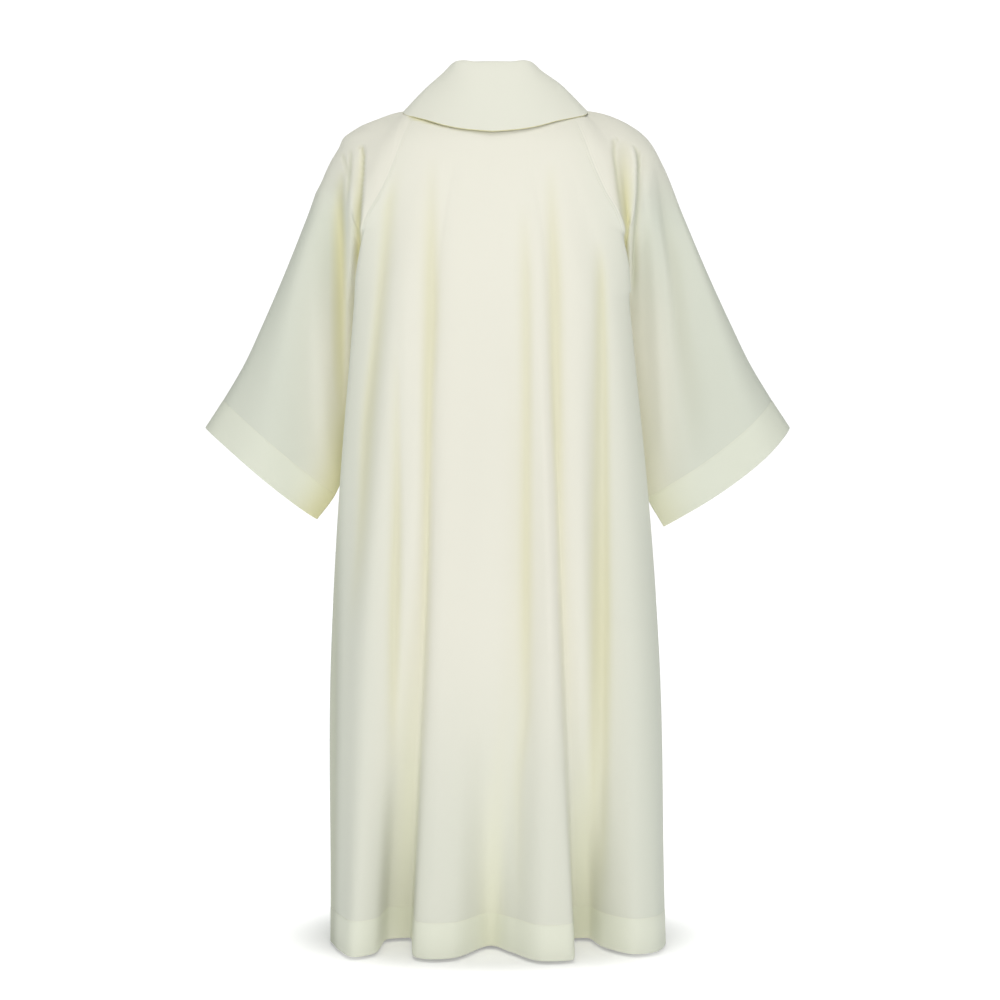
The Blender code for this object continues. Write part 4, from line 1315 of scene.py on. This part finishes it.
def body_grid(body, facing, creases, sizes):
    """The back or the front from the hem to the neck seam: its points, marks and lines of stitches."""
    columns = near_seams(np.linspace(0, 1, BODY_COLUMNS + 1))
    steps = band_steps(sizes.hem_band)
    rest = np.linspace(HEM_Z + steps[-1], ARMPIT_Z, BODY_ROWS)[1:]
    heights = np.concatenate([HEM_Z + steps, rest])
    shares = np.linspace(0, 1, RAGLAN_ROWS + 1)[1:]
    points = np.concatenate([body.lower(columns, heights), body.upper(columns, shares)])
    points = eased_armholes(points)
    level = points[:, len(columns) // 2, 2]
    points = softened(points, SOFT_HEM + (SOFT_WAIST - SOFT_HEM) * ease(level, *SOFT_RISE))
    x, z = points[..., 0], points[..., 2]
    wider = SKIRT_OUT * np.exp(-(((z - SKIRT_OUT_Z) / SKIRT_OUT_REACH) ** 2))
    points[..., 0] += np.sign(x) * (wider * ease(np.abs(x), *SKIRT_OUT_FROM))
    calm = ease(to_seams(points), 0, BODY_CALM)
    moved, gold, shade = creases_at(x, z, creases)
    points[..., 1] += facing * calm * (sizes.crease * moved + sizes.wave * slow_waves(x, z, facing))
    out = outwards(points)
    out *= np.sign(out[:, len(columns) // 2, None, 1:2] * facing)
    low = 1 - ease(level, *LOW_SHADE_FADE)
    # Painted shade: the hollows' tone deep in folds, in crease troughs and under the collar
    deep = blurred(hollows(points), HOLLOW_BLUR)
    hollow = deep * HOLLOW_SHADE_SHARE + TROUGH_SHADE_SHARE * np.clip(calm * gold / TROUGH_FULL, 0, 1)
    hollow = np.clip(hollow * (1 - HOLLOW_LOSS * low[:, None]), 0, 1)
    hollow = np.maximum(hollow, painted_shadow_under_collar(x, z))
    # Painted shade: the outer tone towards the sides and low on the skirt, but not deep in the folds
    outer = np.maximum(ease(np.abs(x), *BODY_OUTER_SHADE), LOW_SHADE * low[:, None]) * (1 - deep)
    shade = np.clip(shade / FULL_CREASE, 0, 1)
    # Painted light: the hems' tone lightens the deep folds low on the skirt
    tones = {"hollow": hollow, "outer": outer, "shade": shade, "double": deep * low[:, None]}
    return sewn(points, out, steps, sizes.hem_band, tones, sizes)


def sleeve_grid(side, sizes):
    """A sleeve from the cuff to the neck seam: its points, marks and lines of stitches."""
    columns = near_seams(np.linspace(0, 1, SLEEVE_COLUMNS + 1))
    steps = band_steps(sizes.cuff_band)
    arm = 2 - steps / SLEEVE_LENGTH
    arm = np.concatenate([arm, np.linspace(arm[-1], 1, ARM_ROWS)[1:]])
    rows = np.concatenate([arm, np.linspace(1, 0, RAGLAN_ROWS + 1)[1:]])
    points = sleeve(side, columns, rows)
    # The shoulder turns into the arm without an edge
    loose = ease(to_seams(points), *SHOULDER_LOOSE)[..., None]
    reach = SHOULDER_SOFT - (SHOULDER_SOFT - TOP_SOFT) * np.exp(-(((columns - 0.5) / TOP_SHARE) ** 2))
    rounder = softened_along(points, reach)
    points = points + (rounder - points) * loose * (1 - ease(rows, *SHOULDER_SOFT_ENDS))[:, None, None]
    if side < 0:
        heights, shifts = np.array(LEFT_SHOULDER_LINE).T * MM
        moved = through(heights, shifts, points[..., 2].ravel(), rounded=True).reshape(loose.shape[:2])
        points[..., 0] += moved * loose[..., 0] * ease(-points[..., 0], *LEFT_SHOULDER_X)
    x, z = points[..., 0], points[..., 2]
    off_top = 1 - np.exp(-(((columns - 0.5) / TOP_LINE) ** 2))[None, :]
    calm = ease(to_seams(points), 0, WAVE_OFF_SEAM) * off_top
    off_seam = ease(to_seams(points), 0, CREASE_OFF_SEAM) * off_top
    hollow = np.zeros(x.shape)
    shade = np.zeros(x.shape)
    halves = (
        (-1, columns <= 0.5, ARM_BACK_CREASES),
        (1, columns > 0.5, ARM_FRONT_CREASES),
    )
    for facing, half, creases in halves:
        # Painted shade: the creases' troughs take the hollows' tone and the shaded tone
        moved, gold, grey = creases_at(x[:, half], z[:, half], creases)
        hollow[:, half] = np.clip(off_seam[:, half] * gold / FULL_CREASE, 0, 1)
        shade[:, half] = np.clip(off_seam[:, half] * grey / FULL_CREASE, 0, 1)
        waves = sizes.wave * calm[:, half] * slow_waves(x[:, half], z[:, half], facing)
        points[:, half, 1] += facing * (sizes.crease * off_seam[:, half] * moved + waves)
    out = outwards(points)
    middle = out[:, len(columns) // 4, 1]
    out *= -np.sign(middle)[:, None, None]
    # Painted shade on the sleeve where it lies close beside the body
    share = BESIDE_TOP + (1 - BESIDE_TOP) * ease(rows, *BESIDE_FULL)
    shade_beside_body = np.exp(-((to_seams(points) / SHADE_BESIDE_BODY) ** 2))
    shade_beside_body *= (share * ease(rows, *BESIDE_STARTS))[:, None]
    hollow = np.maximum(hollow, shade_beside_body * (BESIDE_LEFT if side < 0 else BESIDE_RIGHT))
    hollow = np.maximum(hollow, painted_shadow_under_collar(x, z))
    # Painted shade: the outer tone towards the sleeve's far end, less on the shoulder where light from above
    # falls
    high = ease(z, *SLEEVE_OUTER_SHADE_RISE)
    outer = ease(np.abs(x), *SLEEVE_OUTER_SHADE_LOW) * (1 - high) + ease(np.abs(x), *SLEEVE_OUTER_SHADE_HIGH) * high
    outer = outer * (1 - SHOULDER_LIGHT * ease(z, *SHOULDER_RISE))
    tones = {"hollow": hollow, "outer": outer, "shade": shade, "double": np.zeros_like(outer)}
    return sewn(points, out, steps, sizes.cuff_band, tones, sizes)


def eased_armholes(points):
    """The back or the front with its side edges running on evenly past the end of the raglan seam."""
    points = points.copy()
    heights, widths = np.array(SIDE_EDGE).T * MM
    away = ease(to_seams(points), 0, SIDE_OFF_SEAM)
    for row, off_seam in zip(points, away):
        if not heights[0] < row[-1, 2] < heights[-1]:
            continue
        wanted = through(heights, widths, row[-1, 2])[0]
        for side in (-1, 1):
            reach = (row[:, 0] * side).max()
            share = ease(row[:, 0] * side, reach - SIDE_REACH, reach) * off_seam
            row[:, 0] += side * share * max(0, wanted - reach)
    z = points[..., 2]
    loose = ease(to_seams(points), *SIDE_LOOSE)
    loose *= ease(z, *SIDE_SOFT_FROM) * (1 - ease(z, *SIDE_SOFT_UNTIL))
    return points + (softened_along(points, SIDE_SOFT) - points) * loose[..., None]


def painted_shadow_under_collar(x, z):
    """How much painted shadow of the collar the cloth takes: all down to its edge, and less and less below.
    """
    edge = np.array(COLLAR_LINE) * MM
    below = through(edge[:, 0], edge[:, 1], x.ravel()).reshape(x.shape) - z
    return COLLAR_PAINTED_SHADOW * (1 - ease(below, *COLLAR_PAINTED_SHADOW_FADE)) * (1 - ease(np.abs(x), *COLLAR_PAINTED_SHADOW_ENDS))


def near_seams(columns):
    """The columns with a few more close to both seams."""
    return np.unique(np.concatenate([columns, NEAR_SEAM, 1 - np.array(NEAR_SEAM)]))


def sewn(points, out, steps, band, tones, sizes):
    """The grid with its seams and turned-up layer, the marks of its cloth, and its lines of stitches."""
    points = points + out * seam_dip(points, sizes)[..., None]
    distance = np.concatenate([steps, np.full(len(points) - len(steps), 1.0)])
    double = (distance <= band).astype(float)
    line = np.exp(-(((distance - band) / STITCH_WIDTH) ** 2))
    points = points + out * (double * BAND_STEP - line * BAND_LINE_DIP)[:, None, None]
    count = int(double.sum()) - 1
    # The hems' own tone, less where the painted outer shade lies, or else the painted light of the low folds
    double = double[:, None] * (1 - DOUBLE_LOSS * tones["outer"])
    tones = tones | {"double": np.maximum(double, tones["double"])}
    marks = {label: np.concatenate([tone[1 : count + 1][::-1], tone]) for label, tone in tones.items()}
    hem_row = int(np.argmin(np.abs(distance - band)))
    lines = [(points[hem_row], out[hem_row])]
    lengths = lengths_from(points, 1)
    top = len(points) - RAGLAN_ROWS
    for side in (0, 1):
        at = [sizes.topstitch if side == 0 else row[-1] - sizes.topstitch for row in lengths[top:]]
        line = [
            [np.interp(place, lengths[top + i], points[top + i, :, axis]) for axis in range(3)]
            for i, place in enumerate(at)
        ]
        near = len(NEAR_SEAM) if side == 0 else -1 - len(NEAR_SEAM)
        lines.append((np.array(line), out[top:, near]))
    return with_turn_up(points, steps, band, sizes, out), marks, lines


def stitches_mesh(lines, sizes):
    """A mesh of short stitches along the lines, each lying on the cloth."""
    bm = bmesh.new()
    lift = sizes.cloth / 2 + sizes.thread * STITCH_LIFT
    for places, out in lines:
        lengths = lengths_from(places[:, None], 0)[:, 0]
        for start in np.arange(sizes.stitch_step, lengths[-1] - sizes.stitch_step, sizes.stitch_step):
            ends = [
                Vector([np.interp(at, lengths, places[:, axis]) for axis in range(3)])
                for at in (start, start + sizes.stitch)
            ]
            away = Vector([np.interp(start, lengths, out[:, axis]) for axis in range(3)]).normalized()
            turn = (ends[1] - ends[0]).to_track_quat("Z", "Y").to_matrix().to_4x4()
            middle = (ends[0] + ends[1]) / 2 + away * lift
            bmesh.ops.create_cone(
                bm,
                segments=STITCH_SIDES,
                radius1=sizes.thread / 2,
                radius2=sizes.thread / 2,
                depth=sizes.stitch,
                matrix=Matrix.Translation(middle) @ turn,
            )
    mesh = bpy.data.meshes.new("stitches")
    bm.to_mesh(mesh)
    bm.free()
    return mesh


def cloth_material(name, colour, colours):
    """Fine plain-woven cloth that takes another tone wherever a mark says so, mostly painted shade and
    light.
    """
    material = bpy.data.materials.new(name)
    material.use_nodes = True
    nodes, links = material.node_tree.nodes, material.node_tree.links
    shader = nodes["Principled BSDF"]
    shader.inputs["Roughness"].default_value = 0.85
    shader.inputs["Sheen Weight"].default_value = 0.12
    shader.inputs["Sheen Roughness"].default_value = 0.5
    shader.inputs["Specular IOR Level"].default_value = 0.2
    last = None
    tones = (
        ("outer", colours.outer),
        ("double", colours.double),
        ("hollow", colours.hollow),
        ("shade", colours.shade),
    )
    for label, tone in tones:
        mask = nodes.new("ShaderNodeAttribute")
        mask.attribute_name = label
        mix = nodes.new("ShaderNodeMix")
        mix.data_type = "RGBA"
        links.new(mask.outputs["Fac"], mix.inputs["Factor"])
        mix.inputs["A"].default_value = (*colour, 1)
        mix.inputs["B"].default_value = (*tone, 1)
        if last:
            links.new(last.outputs["Result"], mix.inputs["A"])
        last = mix
    links.new(last.outputs["Result"], shader.inputs["Base Color"])
    cut = nodes.new("ShaderNodeUVMap")
    cut.uv_map = "cut"
    bumps = []
    for scale in WEAVE_SCALES:
        turn = nodes.new("ShaderNodeMapping")
        turn.inputs["Scale"].default_value = scale
        links.new(cut.outputs["UV"], turn.inputs["Vector"])
        threads = nodes.new("ShaderNodeTexNoise")
        threads.inputs["Scale"].default_value = 1.0
        threads.inputs["Detail"].default_value = 1.0
        links.new(turn.outputs["Vector"], threads.inputs["Vector"])
        bumps.append(threads)
    both = nodes.new("ShaderNodeMath")
    both.operation = "ADD"
    for number, threads in enumerate(bumps):
        links.new(threads.outputs["Fac"], both.inputs[number])
    bump = nodes.new("ShaderNodeBump")
    bump.inputs["Strength"].default_value = WEAVE_STRENGTH
    bump.inputs["Distance"].default_value = WEAVE_DEPTH
    links.new(both.outputs["Value"], bump.inputs["Height"])
    links.new(bump.outputs["Normal"], shader.inputs["Normal"])
    return material


def finish_cloth(piece, node, colour, thickness):
    """Gives the piece its wall and cloth, attaches it to the root, and hides the part of model.glb it
    replaces.
    """
    colours = bpy.context.scene.alb_colours
    piece.data.materials.append(cloth_material(piece.name + "_cloth", colour, colours))
    thicken(piece, thickness)
    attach(piece, "root")
    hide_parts(node)


class ALB_OT_back(bpy.types.Operator):
    """Draws the back"""

    bl_idname = "alb.back"
    bl_label = "Back"

    def execute(self, context):
        sizes, colours = context.scene.alb_sizes, context.scene.alb_colours
        points, marks, _ = body_grid(BACK, -1, BACK_CREASES, sizes)
        piece = cloth_object("back_cloth", points, marks)
        finish_cloth(piece, "back", colours.body, sizes.cloth)
        return {"FINISHED"}


class ALB_OT_front(bpy.types.Operator):
    """Draws the front"""

    bl_idname = "alb.front"
    bl_label = "Front"

    def execute(self, context):
        sizes, colours = context.scene.alb_sizes, context.scene.alb_colours
        points, marks, _ = body_grid(FRONT, 1, FRONT_CREASES, sizes)
        piece = cloth_object("front_cloth", *mirrored(points, marks))
        finish_cloth(piece, "front", colours.body, sizes.cloth)
        return {"FINISHED"}


class ALB_OT_sleeves(bpy.types.Operator):
    """Draws both sleeves"""

    bl_idname = "alb.sleeves"
    bl_label = "Sleeves"

    def execute(self, context):
        sizes, colours = context.scene.alb_sizes, context.scene.alb_colours
        for side, node in ((-1, "sleeve_left"), (1, "sleeve_right")):
            points, marks, _ = sleeve_grid(side, sizes)
            if side < 0:
                points, marks = mirrored(points, marks)
            piece = cloth_object(node + "_cloth", points, marks)
            finish_cloth(piece, node, colours.body, sizes.cloth)
        return {"FINISHED"}


class ALB_OT_collar(bpy.types.Operator):
    """Draws the collar"""

    bl_idname = "alb.collar"
    bl_label = "Collar"

    def execute(self, context):
        sizes, colours = context.scene.alb_sizes, context.scene.alb_colours
        over_arm = np.linspace(0, 1, COLLAR_SHOULDER_COLUMNS)
        across = [body.columns(COLLAR_FOLD_COLUMNS) for body in (BACK, FRONT)]
        rough = collar_rows([across[0], over_arm, across[1], over_arm])
        rows, stations = rough.shape[:2]
        at = np.concatenate([np.linspace(0, COLLAR_PROFILE_END, COLLAR_PROFILE_ROWS), COLLAR_NEAR_EDGE])
        points = through(COLLAR_KNOTS, rough.reshape(rows, -1), at).reshape(len(at), stations, 3)
        x, z = points[..., 0], points[..., 2]
        beside = ease(np.abs(x), *COLLAR_SIDE)
        beside = beside * ease(z, *COLLAR_SIDE_FROM) * (1 - ease(z, *COLLAR_SIDE_UNTIL))
        points[..., 0] += np.where(x < 0, COLLAR_LEFT_SHIFT, COLLAR_RIGHT_SHIFT) * beside
        falling = ease(np.linspace(0, 1, len(at)), *COLLAR_TIP_ROWS)[:, None]
        points[..., 2] -= COLLAR_TIP_DROP * falling * ease(np.abs(x), *COLLAR_TIP)
        corner = ease(np.abs(x), *COLLAR_CORNER_FROM) * (1 - ease(np.abs(x), *COLLAR_CORNER_UNTIL))
        points[..., 2] += COLLAR_CORNER_LIFT * (corner * ease(z, *COLLAR_CORNER_RISE))
        points = np.concatenate([points, points[:, :1]], axis=1)
        plain = np.zeros(points.shape[:2])
        marks = {label: plain for label in ("double", "outer", "shade")}
        # Painted shade: the collar's outer edge takes the hollows' tone all along its rim
        marks["hollow"] = plain + (at == 1)[:, None]
        piece = cloth_object("collar_cloth", points, marks)
        finish_cloth(piece, "collar", colours.collar, sizes.collar)
        return {"FINISHED"}


class ALB_OT_stitches(bpy.types.Operator):
    """Draws the stitches of the hems, the cuffs and the raglan seams"""

    bl_idname = "alb.stitches"
    bl_label = "Stitches"

    def execute(self, context):
        sizes, colours = context.scene.alb_sizes, context.scene.alb_colours
        drawn = {
            "back": body_grid(BACK, -1, BACK_CREASES, sizes)[2],
            "front": body_grid(FRONT, 1, FRONT_CREASES, sizes)[2],
            "sleeve_left": sleeve_grid(-1, sizes)[2][:1],
            "sleeve_right": sleeve_grid(1, sizes)[2][:1],
        }
        material = bpy.data.materials.new("thread")
        material.use_nodes = True
        shader = material.node_tree.nodes["Principled BSDF"]
        shader.inputs["Base Color"].default_value = (*colours.thread, 1)
        shader.inputs["Roughness"].default_value = 0.6
        shader.inputs["Sheen Weight"].default_value = 0.3
        for node, lines in drawn.items():
            mesh = stitches_mesh(lines, sizes)
            mesh.materials.append(material)
            piece = bpy.data.objects.new(node + "_stitches", mesh)
            context.scene.collection.objects.link(piece)
            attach(piece, "root")
        return {"FINISHED"}


def stage_sheet(name, size, place, turn, colour):
    """A flat square that isn't part of the garment."""
    bm = bmesh.new()
    bmesh.ops.create_grid(bm, x_segments=1, y_segments=1, size=size / 2)
    bmesh.ops.rotate(bm, verts=bm.verts, cent=(0, 0, 0), matrix=Matrix.Rotation(turn, 3, "X"))
    mesh = bpy.data.meshes.new(name)
    bm.to_mesh(mesh)
    bm.free()
    sheet = bpy.data.objects.new(name, mesh)
    sheet.location = place
    bpy.context.scene.collection.objects.link(sheet)
    material = bpy.data.materials.new(name)
    material.use_nodes = True
    shader = material.node_tree.nodes["Principled BSDF"]
    shader.inputs["Base Color"].default_value = (*colour, 1)
    shader.inputs["Roughness"].default_value = 1.0
    shader.inputs["Specular IOR Level"].default_value = 0.0
    shader.inputs["Emission Color"].default_value = (1, 1, 1, 1)
    mesh.materials.append(material)
    return sheet


def glow_from_middle(sheet, middle, far, start, reach, depth):
    """A soft light from the sheet that changes between these distances from its middle, nearer along Y."""
    tree = sheet.data.materials[0].node_tree
    place = tree.nodes.new("ShaderNodeTexCoord")
    oval = tree.nodes.new("ShaderNodeMapping")
    oval.inputs["Scale"].default_value = (1, depth, 1)
    tree.links.new(place.outputs["Object"], oval.inputs["Vector"])
    distance = tree.nodes.new("ShaderNodeVectorMath")
    distance.operation = "LENGTH"
    fade = tree.nodes.new("ShaderNodeMapRange")
    fade.interpolation_type = "SMOOTHSTEP"
    fade.inputs["From Min"].default_value = start
    fade.inputs["From Max"].default_value = reach
    fade.inputs["To Min"].default_value = middle
    fade.inputs["To Max"].default_value = far
    tree.links.new(oval.outputs["Vector"], distance.inputs[0])
    tree.links.new(distance.outputs["Value"], fade.inputs["Value"])
    tree.links.new(fade.outputs["Result"], tree.nodes["Principled BSDF"].inputs["Emission Strength"])


class ALB_OT_stage(bpy.types.Operator):
    """Lays the floor and sets up the lights and the camera"""

    bl_idname = "alb.stage"
    bl_label = "Stage"

    def execute(self, context):
        colours = context.scene.alb_colours
        floor = stage_sheet("floor", FLOOR_SIZE, (0, 0, HEM_Z - FLOOR_GAP), 0, colours.floor)
        backdrop = stage_sheet("backdrop", BACKDROP_SIZE, BACKDROP_PLACE, math.pi / 2, (0, 0, 0))
        # The floor's weaker glow around the garment is a painted shadow
        glow_from_middle(
            floor,
            middle=FLOOR_GLOW,
            far=FLOOR_GLOW_FAR,
            start=FLOOR_GLOW_START,
            reach=FLOOR_GLOW_REACH,
            depth=FLOOR_GLOW_DEPTH,
        )
        glow_from_middle(backdrop, BACKDROP_GLOW, BACKDROP_GLOW, 0, BACKDROP_SIZE / 2, 1)
        for light in LIGHTS:
            lamp = bpy.data.lights.new(light.name, "AREA")
            lamp.energy = light.power
            lamp.size = light.size
            lamp.color = light.colour
            holder = bpy.data.objects.new(light.name, lamp)
            holder.location = light.place
            towards = Vector(light.aim) - Vector(light.place)
            holder.rotation_euler = towards.to_track_quat("-Z", "Y").to_euler()
            context.scene.collection.objects.link(holder)
        world = bpy.data.worlds.new("studio")
        world.use_nodes = True
        sky = world.node_tree.nodes["Background"]
        sky.inputs["Color"].default_value = (*SKY_COLOUR, 1)
        sky.inputs["Strength"].default_value = SKY_STRENGTH
        context.scene.world = world
        camera = bpy.data.cameras.new("camera")
        camera.lens = CAMERA_LENS
        camera.sensor_width = CAMERA_SENSOR
        camera.shift_x, camera.shift_y = CAMERA_SHIFT
        holder = bpy.data.objects.new("camera", camera)
        holder.location = CAMERA_PLACE
        holder.rotation_euler = (math.pi / 2, 0, 0)
        context.scene.collection.objects.link(holder)
        context.scene.camera = holder
        context.scene.view_settings.view_transform = "Standard"
        return {"FINISHED"}


class ALB_PT_panel(bpy.types.Panel):
    """Lists what can be drawn."""

    bl_label = "Alb"
    bl_idname = "ALB_PT_panel"
    bl_space_type = "VIEW_3D"
    bl_region_type = "UI"
    bl_category = "Alb"

    def draw(self, context):
        for operator in OPERATORS:
            self.layout.operator(operator.bl_idname)


OPERATORS = (ALB_OT_back, ALB_OT_front, ALB_OT_sleeves, ALB_OT_collar, ALB_OT_stitches, ALB_OT_stage)
CLASSES = (AlbSizes, AlbColours, *OPERATORS, ALB_PT_panel)


def register():
    for cls in CLASSES:
        bpy.utils.register_class(cls)
    bpy.types.Scene.alb_sizes = bpy.props.PointerProperty(type=AlbSizes)
    bpy.types.Scene.alb_colours = bpy.props.PointerProperty(type=AlbColours)


def unregister():
    del bpy.types.Scene.alb_colours
    del bpy.types.Scene.alb_sizes
    for cls in reversed(CLASSES):
        bpy.utils.unregister_class(cls)


def main():
    register()
    bpy.ops.alb.back()
    bpy.ops.alb.front()
    bpy.ops.alb.sleeves()
    bpy.ops.alb.collar()
    bpy.ops.alb.stitches()
    bpy.ops.alb.stage()


if __name__ == "__main__":
    main()
